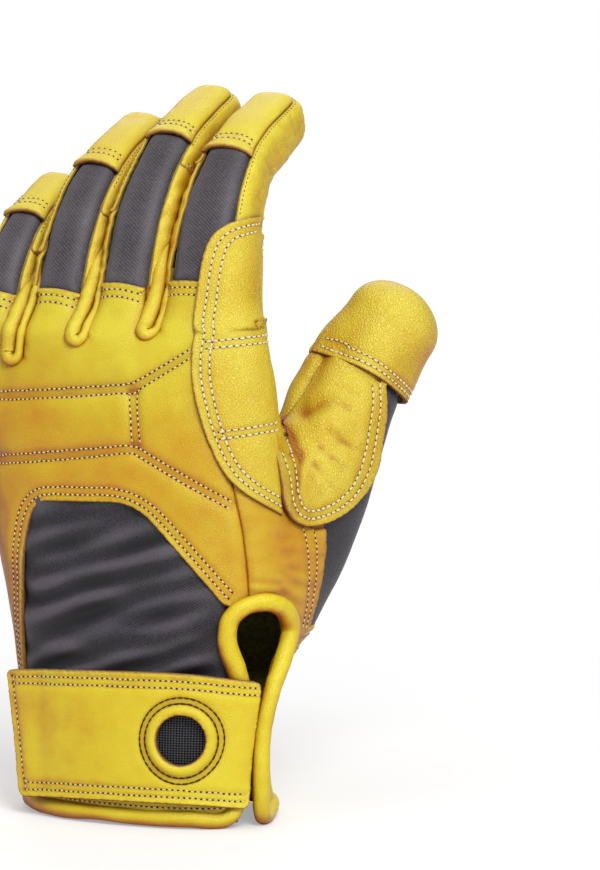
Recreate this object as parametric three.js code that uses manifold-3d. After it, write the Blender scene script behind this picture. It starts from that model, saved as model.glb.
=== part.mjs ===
// Left-hand climbing glove in cowhide and stretch-woven cloth, filled as a hand fills it.
// The glove stands on its open wrist: +Z runs from the hem to the fingers, the back of
// the hand faces -Y, the palm faces +Y and the thumb is on the +X side. The origin is the
// centre of the wrist opening. Lengths are millimetres and angles are degrees.
//
// One smooth form stands for the outside of the hand: a flattened tube for the palm and
// wrist, a boxy curling tube for each finger and a round one for the thumb, blended where
// they meet. Every leather or cloth panel is a patch of that form with its own thickness.
// Panels are trimmed back from those sewn over them, so each keeps a seam of its own.

import * as THREE from "three";
import { mergeVertices } from "three/addons/utils/BufferGeometryUtils.js";
import Module from "manifold-3d";

const wasm = await Module();
wasm.setup();

// Driving dimensions
const SEAM = 0.35; // gap left between neighbouring panels
const LEATHER = 1.6; // cowhide wall
const CLOTH = 1.2; // stretch-woven wall
const PATCH = 1.5; // reinforcing hide sewn over the palm and the thumb crotch
const LEATHER_RISE = 0.7; // hide stands this far proud of the cloth beside it
const PATCH_RISE = 1.5; // a patch stands this far proud of the cloth
const UNDER = 3; // a panel runs this far on towards the one sewn over it
const HAND_LENGTH = 162; // hem to the web between the fingers
const WEB_ROUND = 7; // rounding of the hand above that
const PALM_DEPTH = 45;
const PALM_SIDES = 8; // palm width beyond the row of fingers
const FINGER_START = 138; // where the finger tubes begin, inside the hand
const FINGER_GAP = 2.4; // between the cloth surfaces of neighbouring fingers
const FINGER_ROUND = 10.5; // rounding of a fingertip
const INDEX_FLARE = 5; // the index widens this much on its thumb side at its root
const THUMB_ROUND = 13;
const BINDING = 5.6; // rolled edge round the cuff
const STRAP_HEIGHT = 43;
const STRAP_RAISE = 5; // strap's lower edge above the hem
const STRAP_WALL = 2.4; // two layers of hide
const CLIP_HOLE = 17; // hole for a carabiner
const CUT_DEEP = 3; // a panel also clears this far below itself
const CUT_GAP = 0.6; // and this far beside and above itself
const CUT_OVER = 2.5; // and this far above, in the hollow at the thumb's root

// Fingers, from the thumb side. Tube is the length from FINGER_START to where the tip's
// rounding begins, and lean and curl are angles. In the rows of seams, places run from
// FINGER_START: knuckle is where the cloth begins, cap where the hide tip begins, near and
// far where the strip round the tip ends on the thumb's side and on the other, and front
// where the palm patch ends.
const FINGERS = [
  { name: "index", width: 24.2, depth: 25.4, tube: 117, lean: 2, curl: 72 },
  { name: "middle", width: 23.2, depth: 25, tube: 119, lean: 3.5, curl: 72 },
  { name: "ring", width: 22.6, depth: 24.4, tube: 107, lean: 4.5, curl: 72 },
  { name: "little", width: 20.4, depth: 22.4, tube: 79, lean: 4.5, curl: 68 },
];
const FINGER_SEAMS = [
  { knuckle: 45, cap: 85, near: 60, far: 80, front: 58 },
  { knuckle: 43, cap: 90, near: 80, far: 62, front: 60 },
  { knuckle: 40, cap: 78, near: 62, far: 48, front: 55 },
  { knuckle: 38, cap: 60, near: 48, far: 46, front: 44 },
];
const MIDDLE_ACROSS = -8.5; // the middle finger's root, across from the wrist's centre
const ROOT_CURL = 5;
const STRAIGHT_SHARE = 0.22; // share of a finger that stays straight before it curls
const TIP_TAPER = 0.8;
const SEAM_SHARE = 0.5 ** (1 / 3); // finger seams run along the corners of the rounded box

// Hand sections: height as a share of HAND_LENGTH, sideways shift and width as shares of
// the palm's width, depth as a share of PALM_DEPTH.
const HAND_SECTIONS = [
  { up: 0, shift: 0.019, width: 0.83, depth: 1.24 },
  { up: 0.15, shift: 0.009, width: 0.85, depth: 1.22 },
  { up: 0.31, shift: 0.005, width: 0.9, depth: 1.2 },
  { up: 0.46, shift: 0, width: 0.95, depth: 1.18 },
  { up: 0.63, shift: -0.028, width: 1, depth: 1.11 },
  { up: 0.77, shift: -0.057, width: 1, depth: 1 },
  { up: 0.89, shift: -0.08, width: 0.99, depth: 0.87 },
  { up: 1, shift: -0.1, width: 0.96, depth: 0.7 },
];

// Thumb sections, from the heel of the hand to the tip.
const THUMB_SECTIONS = [
  { across: 27, out: 14, up: 60, width: 44, depth: 38 },
  { across: 38, out: 24, up: 85, width: 44, depth: 38 },
  { across: 46, out: 34, up: 108, width: 40, depth: 36 },
  { across: 50, out: 43, up: 128, width: 36, depth: 34 },
  { across: 55, out: 52, up: 146, width: 34, depth: 32 },
  { across: 62, out: 61, up: 161, width: 31, depth: 29 },
];
const THUMB_NAIL = new THREE.Vector3(1, -0.25, -0.3); // way the thumb's back faces
const THUMB_CAP = 97; // where the thumb's hide tip begins, along its tube

const LEATHER_LOOK = { color: 0xd9a520, roughness: 0.55, metalness: 0 };
const PATCH_LOOK = { color: 0xdcae2c, roughness: 0.55, metalness: 0 };
const CLOTH_LOOK = { color: 0x3c3a40, roughness: 0.9, metalness: 0 };
const KNIT_LOOK = { color: 0x1c1c1e, roughness: 0.95, metalness: 0 };

const { lerp, clamp, degToRad, smoothstep } = THREE.MathUtils;
const sum = (list) => list.reduce((total, value) => total + value, 0);
const signedPower = (value, power) => Math.sign(value) * Math.abs(value) ** power;

// A value read off rows of [place, value] by straight lines.
function along(rows, place) {
  if (place <= rows[0][0]) return rows[0][1];
  for (let i = 1; i < rows.length; i++) {
    const [from, low] = rows[i - 1];
    const [to, high] = rows[i];
    if (place <= to) return lerp(low, high, (place - from) / (to - from));
  }
  return rows[rows.length - 1][1];
}

// A rounded-box tube along stations, each with a centre, a side and a front direction and
// a half width and half depth. Its far end is rounded.
class Tube {
  constructor(stations, boxiness, round, closedStart) {
    this.stations = stations;
    this.boxiness = boxiness;
    this.round = round;
    this.closedStart = closedStart;
    this.length = stations[stations.length - 1].s;
  }

  at(s) {
    const place = clamp(s, 0, this.length);
    let i = 1;
    while (i < this.stations.length - 1 && this.stations[i].s < place) i++;
    const [a, b] = [this.stations[i - 1], this.stations[i]];
    const t = (place - a.s) / (b.s - a.s);
    const mix = (key) => a[key].clone().lerp(b[key], t);
    return {
      centre: mix("centre"),
      side: mix("side"),
      front: mix("front"),
      along: mix("along"),
      width: lerp(a.width, b.width, t),
      depth: lerp(a.depth, b.depth, t),
    };
  }

  // The point at shares of the half width, half depth and end rounding, and its outward way.
  place(s, across, deep, beyond) {
    const f = this.at(s);
    const power = this.boxiness - 1;
    const point = f.centre
      .clone()
      .addScaledVector(f.side, across * f.width)
      .addScaledVector(f.front, deep * f.depth)
      .addScaledVector(f.along, beyond * this.round);
    const way = f.side
      .clone()
      .multiplyScalar(signedPower(across, power) / f.width)
      .addScaledVector(f.front, signedPower(deep, power) / f.depth)
      .addScaledVector(f.along, signedPower(beyond, power) / this.round)
      .normalize();
    return { point, way };
  }

  // A point on the section at an angle: 0 is the back, 90 the thumb's side, 180 the palm.
  ring(s, angle) {
    const past = clamp((s - this.length) / (1.3 * this.round), 0, 1) * 90;
    const power = 2 / this.boxiness;
    const shrink = Math.cos(degToRad(past)) ** power;
    return this.place(
      s,
      signedPower(Math.sin(degToRad(angle)), power) * shrink,
      -signedPower(Math.cos(degToRad(angle)), power) * shrink,
      Math.sin(degToRad(past)) ** power,
    );
  }

  // A point on the back (side -1) or palm face (+1), at a share of the half width.
  face(side, share, s) {
    const n = this.boxiness;
    const beyond = clamp((s - this.length) / this.round, 0, 1);
    const deep = Math.max(1 - Math.abs(share) ** n - beyond ** n, 0) ** (1 / n);
    return this.place(s, share, side * deep, beyond);
  }

  // A point on the strip that runs up one flank, over the tip and down the other. Turn goes
  // from -1 at the start of the far rounding on one side to +1 on the other.
  strip(turn, share, s) {
    const n = this.boxiness;
    const rest = (1 - Math.abs(share) ** n) ** (1 / n);
    const angle = degToRad(clamp(turn, -1, 1) * 90);
    const across = signedPower(Math.sin(angle), 2 / n) * rest;
    return this.place(s, across, share, Math.abs(Math.cos(angle)) ** (2 / n) * rest);
  }

  // First-order distance from a point to the tube's surface, negative inside.
  distance(point) {
    let best = Infinity;
    let nearest;
    for (let i = 1; i < this.stations.length; i++) {
      const a = this.stations[i - 1];
      const span = this.stations[i].centre.clone().sub(a.centre);
      const offset = point.clone().sub(a.centre);
      const t = clamp(offset.dot(span) / span.lengthSq(), 0, 1);
      offset.addScaledVector(span, -t);
      if (offset.lengthSq() < best) {
        best = offset.lengthSq();
        nearest = { i, t, offset };
      }
    }
    const { i, t, offset } = nearest;
    const f = this.at(lerp(this.stations[i - 1].s, this.stations[i].s, t));
    const atEnd = i === this.stations.length - 1 && t >= 1;
    const atStart = this.closedStart && i === 1 && t <= 0;
    const shares = [
      [offset.dot(f.side), f.width],
      [offset.dot(f.front), f.depth],
      [atEnd || atStart ? offset.dot(f.along) : 0, this.round],
    ].map(([value, half]) => [Math.abs(value) / half, half]);
    const n = this.boxiness;
    const reach = sum(shares.map(([share]) => share ** n)) ** (1 / n) + 1e-9;
    const slope =
      Math.sqrt(sum(shares.map(([share, half]) => (share ** (n - 1) / half) ** 2))) *
        reach ** (1 - n) +
      1e-9;
    return Math.max((reach - 1) / slope, -Math.min(f.width, f.depth));
  }
}

const tangents = (points) =>
  points.map((_, i) =>
    points[Math.min(i + 1, points.length - 1)]
      .clone()
      .sub(points[Math.max(i - 1, 0)])
      .normalize(),
  );

const PALM_WIDTH =
  sum(FINGERS.map((f) => f.width)) + (FINGERS.length - 1) * FINGER_GAP + PALM_SIDES;

function handTube() {
  const rows = HAND_SECTIONS.map((r) => new THREE.Vector3(r.shift, r.width, r.depth));
  const steps = 14;
  const stations = [];
  for (let i = 0; i <= steps; i++) {
    const up = i / steps;
    let k = 1;
    while (HAND_SECTIONS[k].up < up) k++;
    const t = (up - HAND_SECTIONS[k - 1].up) / (HAND_SECTIONS[k].up - HAND_SECTIONS[k - 1].up);
    const row = rows[k - 1].clone().lerp(rows[k], t);
    stations.push({
      s: up * HAND_LENGTH,
      centre: new THREE.Vector3(row.x * PALM_WIDTH, 0.5, up * HAND_LENGTH),
      side: new THREE.Vector3(1, 0, 0),
      front: new THREE.Vector3(0, 1, 0),
      along: new THREE.Vector3(0, 0, 1),
      width: (PALM_WIDTH * row.y) / 2,
      depth: (PALM_DEPTH * row.z) / 2,
    });
  }
  return new Tube(stations, 2.35, WEB_ROUND, false);
}

// Where each finger's root is, across the hand, so that neighbours keep FINGER_GAP.
function rootsAcross() {
  const roots = FINGERS.map(() => MIDDLE_ACROSS);
  const step = (a, b) => (FINGERS[a].width + FINGERS[b].width) / 2 + FINGER_GAP;
  roots[0] = roots[1] + step(0, 1);
  for (let i = 2; i < FINGERS.length; i++) roots[i] = roots[i - 1] - step(i - 1, i);
  return roots;
}

function fingerTube(finger, root, flare) {
  const steps = 12;
  const lean = degToRad(finger.lean);
  const side = new THREE.Vector3(Math.cos(lean), 0, -Math.sin(lean));
  const frame = (share) => {
    const bent = smoothstep(share, STRAIGHT_SHARE, 1);
    const curl = degToRad(lerp(ROOT_CURL, finger.curl, bent));
    return {
      along: new THREE.Vector3(
        Math.cos(curl) * Math.sin(lean),
        Math.sin(curl),
        Math.cos(curl) * Math.cos(lean),
      ),
      front: new THREE.Vector3(
        -Math.sin(curl) * Math.sin(lean),
        Math.cos(curl),
        -Math.sin(curl) * Math.cos(lean),
      ),
    };
  };
  const stations = [];
  const spine = new THREE.Vector3(root, 0, FINGER_START);
  for (let i = 0; i <= steps; i++) {
    const share = i / steps;
    const { along: ahead, front } = frame(share);
    if (i > 0) spine.addScaledVector(frame(share - 0.5 / steps).along, finger.tube / steps);
    const grow = flare * Math.max(1 - share / 0.75, 0);
    const taper = 1 - (1 - TIP_TAPER) * share ** 2;
    stations.push({
      s: share * finger.tube,
      centre: spine.clone().addScaledVector(side, grow),
      side: side.clone(),
      front,
      along: ahead,
      width: (finger.width / 2) * taper + grow,
      depth: (finger.depth / 2) * taper,
    });
  }
  return new Tube(stations, 3, FINGER_ROUND, true);
}

function thumbTube() {
  const curve = new THREE.CatmullRomCurve3(
    THUMB_SECTIONS.map((r) => new THREE.Vector3(r.across, r.out, r.up)),
    false,
    "centripetal",
  );
  const steps = 12;
  const points = curve.getPoints(steps);
  const ways = tangents(points);
  let s = 0;
  const stations = points.map((centre, i) => {
    if (i > 0) s += centre.distanceTo(points[i - 1]);
    const back = THUMB_NAIL.clone().projectOnPlane(ways[i]).normalize();
    const row = (i / steps) * (THUMB_SECTIONS.length - 1);
    const low = THUMB_SECTIONS[Math.min(Math.floor(row), THUMB_SECTIONS.length - 2)];
    const high = THUMB_SECTIONS[THUMB_SECTIONS.indexOf(low) + 1];
    const t = row - THUMB_SECTIONS.indexOf(low);
    return {
      s,
      centre,
      front: back.clone().negate(),
      side: back.clone().negate().cross(ways[i]),
      along: ways[i],
      width: lerp(low.width, high.width, t) / 2,
      depth: lerp(low.depth, high.depth, t) / 2,
    };
  });
  return new Tube(stations, 2.3, THUMB_ROUND, true);
}

const hand = handTube();
const roots = rootsAcross();
const fingers = FINGERS.map((f, i) => fingerTube(f, roots[i], i === 0 ? INDEX_FLARE : 0));
const thumb = thumbTube();

// Two distances blended over a band, which rounds the crease between two tubes.
function blend(a, b, band) {
  const near = Math.max(band - Math.abs(a - b), 0) / band;
  return Math.min(a, b) - (near * near * band) / 4;
}
const FINGER_BLEND = 1.5;
const KNUCKLE_BLEND = 6;
const THUMB_BLEND = 14;

function formDistance(point) {
  let d = fingers[0].distance(point);
  for (const f of fingers.slice(1)) d = blend(d, f.distance(point), FINGER_BLEND);
  d = blend(d, hand.distance(point), KNUCKLE_BLEND);
  return blend(d, thumb.distance(point), THUMB_BLEND);
}

// Slides a point along its way until it lies on the blended form.
function seat({ point, way }) {
  const reach = 24;
  let [t0, f0] = [0, formDistance(point)];
  let t1 = clamp(-f0, -reach, reach);
  for (let i = 0; i < 6 && Math.abs(f0) > 0.01; i++) {
    const f1 = formDistance(point.clone().addScaledVector(way, t1));
    const slope = Math.abs(t1 - t0) > 1e-9 ? (f1 - f0) / (t1 - t0) : 1;
    [t0, f0] = [t1, f1];
    t1 = clamp(t1 - f1 / (Math.abs(slope) > 0.2 ? slope : 0.2), -reach, reach);
  }
  const seated = point.clone().addScaledVector(way, t0);
  return { point: seated, way, normal: steepest(seated) };
}

// The way straight out of the form at a point.
function steepest(point) {
  const step = 0.8;
  const rise = [0, 1, 2].map((axis) => {
    const offset = new THREE.Vector3().setComponent(axis, step);
    return formDistance(point.clone().add(offset)) - formDistance(point.clone().sub(offset));
  });
  return new THREE.Vector3(...rise).normalize();
}

const onHand = (around, up) => seat(hand.ring(up, around));
const onThumb = (around, s) => seat(thumb.ring(s, around));

// The form's back (side -1) or palm face (+1) at a place across and up.
const onFace = (side, across, up) =>
  seat({ point: new THREE.Vector3(across, 0, up), way: new THREE.Vector3(0, side, 0) });

function manifoldOf(positions, triangles) {
  const mesh = () =>
    new wasm.Mesh({
      numProp: 3,
      vertProperties: new Float32Array(positions),
      triVerts: new Uint32Array(triangles),
    });
  const solid = new wasm.Manifold(mesh());
  if (solid.volume() > 0) return solid;
  for (let i = 0; i < triangles.length; i += 3)
    [triangles[i + 1], triangles[i + 2]] = [triangles[i + 2], triangles[i + 1]];
  return new wasm.Manifold(mesh());
}

const range = (count, from, to) =>
  Array.from({ length: count + 1 }, (_, i) => lerp(from, to, i / count));

// Points at shares u and v from 0 to 1, in rows and columns of cells.
const grid = (rows, columns, at) =>
  range(rows, 0, 1).map((u) => range(columns, 0, 1).map((v) => at(u, v)));

function manifoldOfGeometry(geometry) {
  const bare = geometry.clone();
  bare.deleteAttribute("normal");
  bare.deleteAttribute("uv");
  const merged = mergeVertices(bare);
  return manifoldOf(Array.from(merged.attributes.position.array), Array.from(merged.index.array));
}

// A grid of seated points made into a wall. Rise is the outer face's height over the form.
// Its edges stop half a seam short, or go half a seam beyond where it serves as a cutter.
function wall(points, { rise, thickness, deep = CUT_DEEP, over = CUT_GAP }, cutter) {
  const rows = points.length;
  const columns = points[0].length;
  const point = (i, j) => points[clamp(i, 0, rows - 1)][clamp(j, 0, columns - 1)].point;
  const spread = cutter ? CUT_GAP - SEAM / 2 : -SEAM / 2;
  const outer = [];
  const inner = [];
  for (let i = 0; i < rows; i++)
    for (let j = 0; j < columns; j++) {
      const { normal } = points[i][j];
      const base = point(i, j).clone();
      const edges = [
        [i === 0 || i === rows - 1, point(i === 0 ? 1 : rows - 2, j)],
        [j === 0 || j === columns - 1, point(i, j === 0 ? 1 : columns - 2)],
      ];
      for (const [edge, next] of edges)
        if (edge) base.addScaledVector(next.clone().sub(point(i, j)).normalize(), -spread);
      const top = typeof rise === "function" ? rise(i / (rows - 1), j / (columns - 1)) : rise;
      const depth = cutter ? thickness + deep : thickness;
      outer.push(base.clone().addScaledVector(normal, top + (cutter ? over : 0)));
      inner.push(base.clone().addScaledVector(normal, top - depth));
    }
  const positions = [...outer, ...inner].flatMap((p) => p.toArray());
  const triangles = [];
  const back = outer.length;
  const quad = (a, b, c, d) => triangles.push(a, b, c, a, c, d);
  const id = (i, j) => i * columns + j;
  for (let i = 0; i < rows - 1; i++)
    for (let j = 0; j < columns - 1; j++) {
      quad(id(i, j), id(i, j + 1), id(i + 1, j + 1), id(i + 1, j));
      quad(id(i, j) + back, id(i + 1, j) + back, id(i + 1, j + 1) + back, id(i, j + 1) + back);
    }
  const rim = [];
  for (let j = 0; j < columns; j++) rim.push(id(0, j));
  for (let i = 1; i < rows; i++) rim.push(id(i, columns - 1));
  for (let j = columns - 2; j >= 0; j--) rim.push(id(rows - 1, j));
  for (let i = rows - 2; i > 0; i--) rim.push(id(i, 0));
  rim.forEach((a, k) => {
    const b = rim[(k + 1) % rim.length];
    quad(b, a, a + back, b + back);
  });
  return manifoldOf(positions, triangles);
}

const CORE_STEP = 12;

// A tube's solid from one place to its rounded end, its surface shifted out by an offset.
function core(tube, from, offset) {
  const around = 16;
  const places = [
    ...range(Math.ceil((tube.length - from) / CORE_STEP), from, tube.length),
    ...range(4, tube.length, tube.length + 1.3 * tube.round).slice(1, -1),
  ];
  const positions = [];
  const triangles = [];
  for (const s of places)
    for (let k = 0; k < around; k++) {
      const { point, way } = tube.ring(s, (k / around) * 360);
      positions.push(...point.addScaledVector(way, offset).toArray());
    }
  const start = positions.length / 3;
  const first = tube.at(places[0]);
  const last = tube.at(tube.length);
  positions.push(...first.centre.toArray());
  positions.push(...last.centre.addScaledVector(last.along, tube.round + offset).toArray());
  for (let k = 0; k < around; k++) {
    const next = (k + 1) % around;
    for (let i = 0; i < places.length - 1; i++) {
      const [a, b] = [i * around + k, i * around + next];
      triangles.push(a, b, b + around, a, b + around, a + around);
    }
    const top = (places.length - 1) * around;
    triangles.push(start, next, k, start + 1, top + k, top + next);
  }
  return manifoldOf(positions, triangles);
}

// A closed roll of round section along a loop of seated points.
function roll(loop, diameter, grow) {
  const sides = 6;
  const positions = [];
  const triangles = [];
  const radius = diameter / 2 + grow;
  loop.forEach(({ point, way }, i) => {
    const ahead = loop[(i + 1) % loop.length].point
      .clone()
      .sub(loop[(i + loop.length - 1) % loop.length].point)
      .normalize();
    const out = way.clone().projectOnPlane(ahead).normalize();
    const over = ahead.clone().cross(out);
    for (let k = 0; k < sides; k++) {
      const turn = ((k + 0.5) / sides) * 2 * Math.PI;
      positions.push(
        ...point
          .clone()
          .addScaledVector(out, radius * Math.cos(turn))
          .addScaledVector(over, radius * Math.sin(turn))
          .toArray(),
      );
    }
    const next = ((i + 1) % loop.length) * sides;
    for (let k = 0; k < sides; k++) {
      const [a, b] = [i * sides + k, i * sides + ((k + 1) % sides)];
      const [c, d] = [next + ((k + 1) % sides), next + k];
      triangles.push(a, b, c, a, c, d);
    }
  });
  return manifoldOf(positions, triangles);
}

// Cuff edge, as the rolled binding's centreline: angle round the hand, height, and lift
// off the form, round the hem, up the back side of the slit, over its keyhole and down the
// palm side.
const CUFF_EDGE = [
  { around: 0, up: 0, lift: 0 },
  { around: 30, up: 0, lift: 0 },
  { around: 50, up: 0, lift: 0 },
  { around: 59, up: 6, lift: 0 },
  { around: 61, up: 25, lift: 0 },
  { around: 60, up: 40, lift: 0 },
  { around: 53, up: 51, lift: 0 },
  { around: 46, up: 62, lift: 0 },
  { around: 47, up: 71, lift: 0 },
  { around: 56, up: 76, lift: 0 },
  { around: 72, up: 77, lift: 0 },
  { around: 88, up: 73, lift: 0 },
  { around: 95, up: 64, lift: 0 },
  { around: 91, up: 55, lift: 1 },
  { around: 84, up: 46, lift: 2.5 },
  { around: 82, up: 30, lift: 3.1 },
  { around: 83, up: 10, lift: 3 },
  { around: 89, up: 0, lift: 1 },
  { around: 104, up: 0, lift: 0 },
  { around: 125, up: 0, lift: 0 },
  { around: 150, up: 0, lift: 0 },
  { around: 180, up: 0, lift: 0 },
  { around: 210, up: 0, lift: 0 },
  { around: 235, up: 0, lift: 0 },
  { around: 260, up: 0, lift: 0 },
  { around: 285, up: 0, lift: 0 },
  { around: 310, up: 0, lift: 0 },
  { around: 335, up: 0, lift: 0 },
];
const SLIT = { corner: 2, top: 10, flap: 17 }; // rows where the slit turns

const bodies = [];
const cutters = [];

// The largest piece of a solid that a trim has parted.
const largest = (solid) =>
  solid.decompose().reduce((best, body) => (body.volume() > best.volume() ? body : best));

const joined = (solids) => solids.reduce((whole, solid) => whole.add(solid));

// A solid's surface with vertices that share a place made one.
function surfaceOf(solid) {
  const { numProp, vertProperties, triVerts } = solid.getMesh();
  const positions = new Float32Array((vertProperties.length / numProp) * 3);
  for (let i = 0; i < positions.length / 3; i++)
    positions.set(vertProperties.subarray(i * numProp, i * numProp + 3), i * 3);
  const geometry = new THREE.BufferGeometry()
    .setAttribute("position", new THREE.BufferAttribute(positions, 3))
    .setIndex(new THREE.BufferAttribute(triVerts, 1));
  return mergeVertices(geometry, 1e-4);
}

function meshOf(name, solid, look) {
  const whole = largest(manifoldOfGeometry(surfaceOf(solid)));
  const mesh = new THREE.Mesh(surfaceOf(whole), new THREE.MeshStandardMaterial(look));
  mesh.name = name;
  return mesh;
}

const FINEST = 0.08; // detail smaller than this is dropped after a trim

const boxesMeet = (a, b) =>
  [0, 1, 2].every((k) => a.min[k] < b.max[k] && b.min[k] < a.max[k]);

// Adds a solid and lays down the cutter that trims the pieces added after it.
function add(name, look, solid, cutter, trimmed = true) {
  let body = solid.simplify(FINEST);
  for (const over of trimmed ? cutters : [])
    if (boxesMeet(body.boundingBox(), over.boundingBox())) body = body.subtract(over);
  bodies.push(meshOf(name, largest(largest(body).simplify(FINEST / 2)), look));
  cutters.push(cutter.add(solid));
}

// Adds a panel made of one or more walls sewn as one. Windows and cores are cut out of it.
function panel(name, look, walls, { windows = [], cores = [], trimmed = true } = {}) {
  const build = (cutter) => joined(walls.map(([layer, points]) => wall(points, layer, cutter)));
  const holes = [...windows.map((points) => wall(points, WINDOW, false)), ...cores];
  const open = (solid) => holes.reduce((left, hole) => left.subtract(hole), solid);
  add(name, look, open(build(false)), open(build(true)), trimmed);
}

const WINDOW = { rise: 6, thickness: 12 };
const HIDE = { rise: LEATHER_RISE, thickness: LEATHER };
const WEAVE = { rise: 0, thickness: CLOTH };
const REINFORCED = { rise: PATCH_RISE, thickness: PATCH };

// Cuff binding
const cuffLoop = new THREE.CatmullRomCurve3(
  CUFF_EDGE.map((r) => {
    const { point, way } = onHand(r.around, r.up + BINDING / 2);
    return point.addScaledVector(way, r.lift);
  }),
  true,
  "centripetal",
);
const BINDING_STEPS = 56;
const bindingLoop = cuffLoop
  .getPoints(BINDING_STEPS)
  .slice(0, BINDING_STEPS)
  .map((point) => ({ point, way: point.clone().sub(hand.at(point.z).centre).setZ(0).normalize() }));
add("cuff_binding", LEATHER_LOOK, roll(bindingLoop, BINDING, 0), roll(bindingLoop, BINDING, SEAM));

// Wrist strap with its clip hole, and the knit pad it fastens to
const STRAP_ENDS = { free: -72.5, fixed: 78 }; // angles round the hand
const STRAP_OVER = 2.35; // the strap's inner face over the form
const STRAP_STANDS = 4; // the free end stands this much further off
const CLIP_PLACE = { around: 25, up: 28.9 };
const strapGrid = grid(3, 14, (u, v) =>
  onHand(lerp(STRAP_ENDS.free, STRAP_ENDS.fixed, v), STRAP_RAISE + u * STRAP_HEIGHT),
);
const STRAP_MOUNTS = 1.2; // it climbs this much on to the binding at its fixed end
const strapRise = (u, v) =>
  STRAP_OVER +
  STRAP_WALL +
  STRAP_STANDS * (1 - smoothstep(v, 0, 0.16)) +
  STRAP_MOUNTS * smoothstep(v, 0.8, 0.9);
const clipSeat = onHand(CLIP_PLACE.around, CLIP_PLACE.up);
const clipHole = manifoldOfGeometry(
  new THREE.CylinderGeometry(CLIP_HOLE / 2, CLIP_HOLE / 2, 30, 20).applyQuaternion(
    new THREE.Quaternion().setFromUnitVectors(new THREE.Vector3(0, 1, 0), clipSeat.way),
  ).translate(...clipSeat.point.toArray()),
);
const strapWall = wall(strapGrid, { rise: strapRise, thickness: STRAP_WALL }, false);
const strapCutter = wall(strapGrid, { rise: strapRise, thickness: STRAP_WALL, deep: SEAM / 2 }, true);
add("wrist_strap", LEATHER_LOOK, strapWall.subtract(clipHole), strapCutter);

const PAD = { from: -46, to: 50, margin: 3, rise: 2, thickness: 1 };
const padGrid = grid(4, 10, (u, v) =>
  onHand(lerp(PAD.from, PAD.to, v), STRAP_RAISE + lerp(PAD.margin, STRAP_HEIGHT - PAD.margin, u)),
);
panel("loop_pad", KNIT_LOOK, [[{ rise: PAD.rise, thickness: PAD.thickness }, padGrid]]);

// Slit in the cuff, cleared of every panel below
const slitSide = (from, to) =>
  CUFF_EDGE.slice(from, to + 1).map((r) => [r.up + BINDING / 2, r.around]);
const slitBack = slitSide(SLIT.corner + 1, SLIT.top);
const slitFront = slitSide(SLIT.top, SLIT.flap - 1).reverse();
const slitGrid = grid(14, 2, (u, v) => {
  const up = lerp(-BINDING, CUFF_EDGE[SLIT.top].up + BINDING / 2, u);
  const seated = onHand(lerp(along(slitBack, up), along(slitFront, up), v), Math.max(up, 0));
  return { ...seated, point: seated.point.clone().setZ(up) };
});
cutters.push(wall(slitGrid, WINDOW, false));

// Finger caps, palm-side tips and the strips round the tips. The strip's stations over the
// tip are the same as the columns of the faces it is sewn to.
const FACE_COLUMNS = [-1, -0.6, 0, 0.6, 1];
const STRIP_COLUMNS = 3;
const tipEnd = (tube, share) =>
  tube.length + tube.round * Math.max(1 - SEAM_SHARE ** 3 - Math.abs(share) ** 3, 0) ** (1 / 3);
const faceGrid = (tube, side, rows, from, to) =>
  range(rows, 0, 1).map((u) =>
    FACE_COLUMNS.map((column) => {
      const share = column * SEAM_SHARE;
      return seat(tube.face(side, share, lerp(from, to === "tip" ? tipEnd(tube, share) : to, u)));
    }),
  );
const flank = (tube, turn, s) =>
  range(STRIP_COLUMNS, -SEAM_SHARE, SEAM_SHARE).map((share) => seat(tube.strip(turn, share, s)));
const turnOf = (column) =>
  THREE.MathUtils.radToDeg(Math.asin(signedPower(column, 1.5))) / 90;
FINGER_SEAMS.forEach(({ cap, near, far, front }, i) => {
  const tube = fingers[i];
  const { name } = FINGERS[i];
  const strip = [
    ...range(5, far, tube.length).slice(0, -1).map((s) => [-1, s]),
    ...FACE_COLUMNS.map((column) => [turnOf(column), tube.length]),
    ...range(5, tube.length, near).slice(1).map((s) => [1, s]),
  ].map(([turn, s]) => flank(tube, turn, s));
  const free = { trimmed: false };
  panel(`${name}_cap`, LEATHER_LOOK, [[HIDE, faceGrid(tube, -1, 4, cap, "tip")]], free);
  panel(`${name}_front`, PATCH_LOOK, [[HIDE, faceGrid(tube, 1, 6, front, "tip")]], free);
  panel(`${name}_side_strip`, LEATHER_LOOK, [[HIDE, strip]], free);
});

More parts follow.
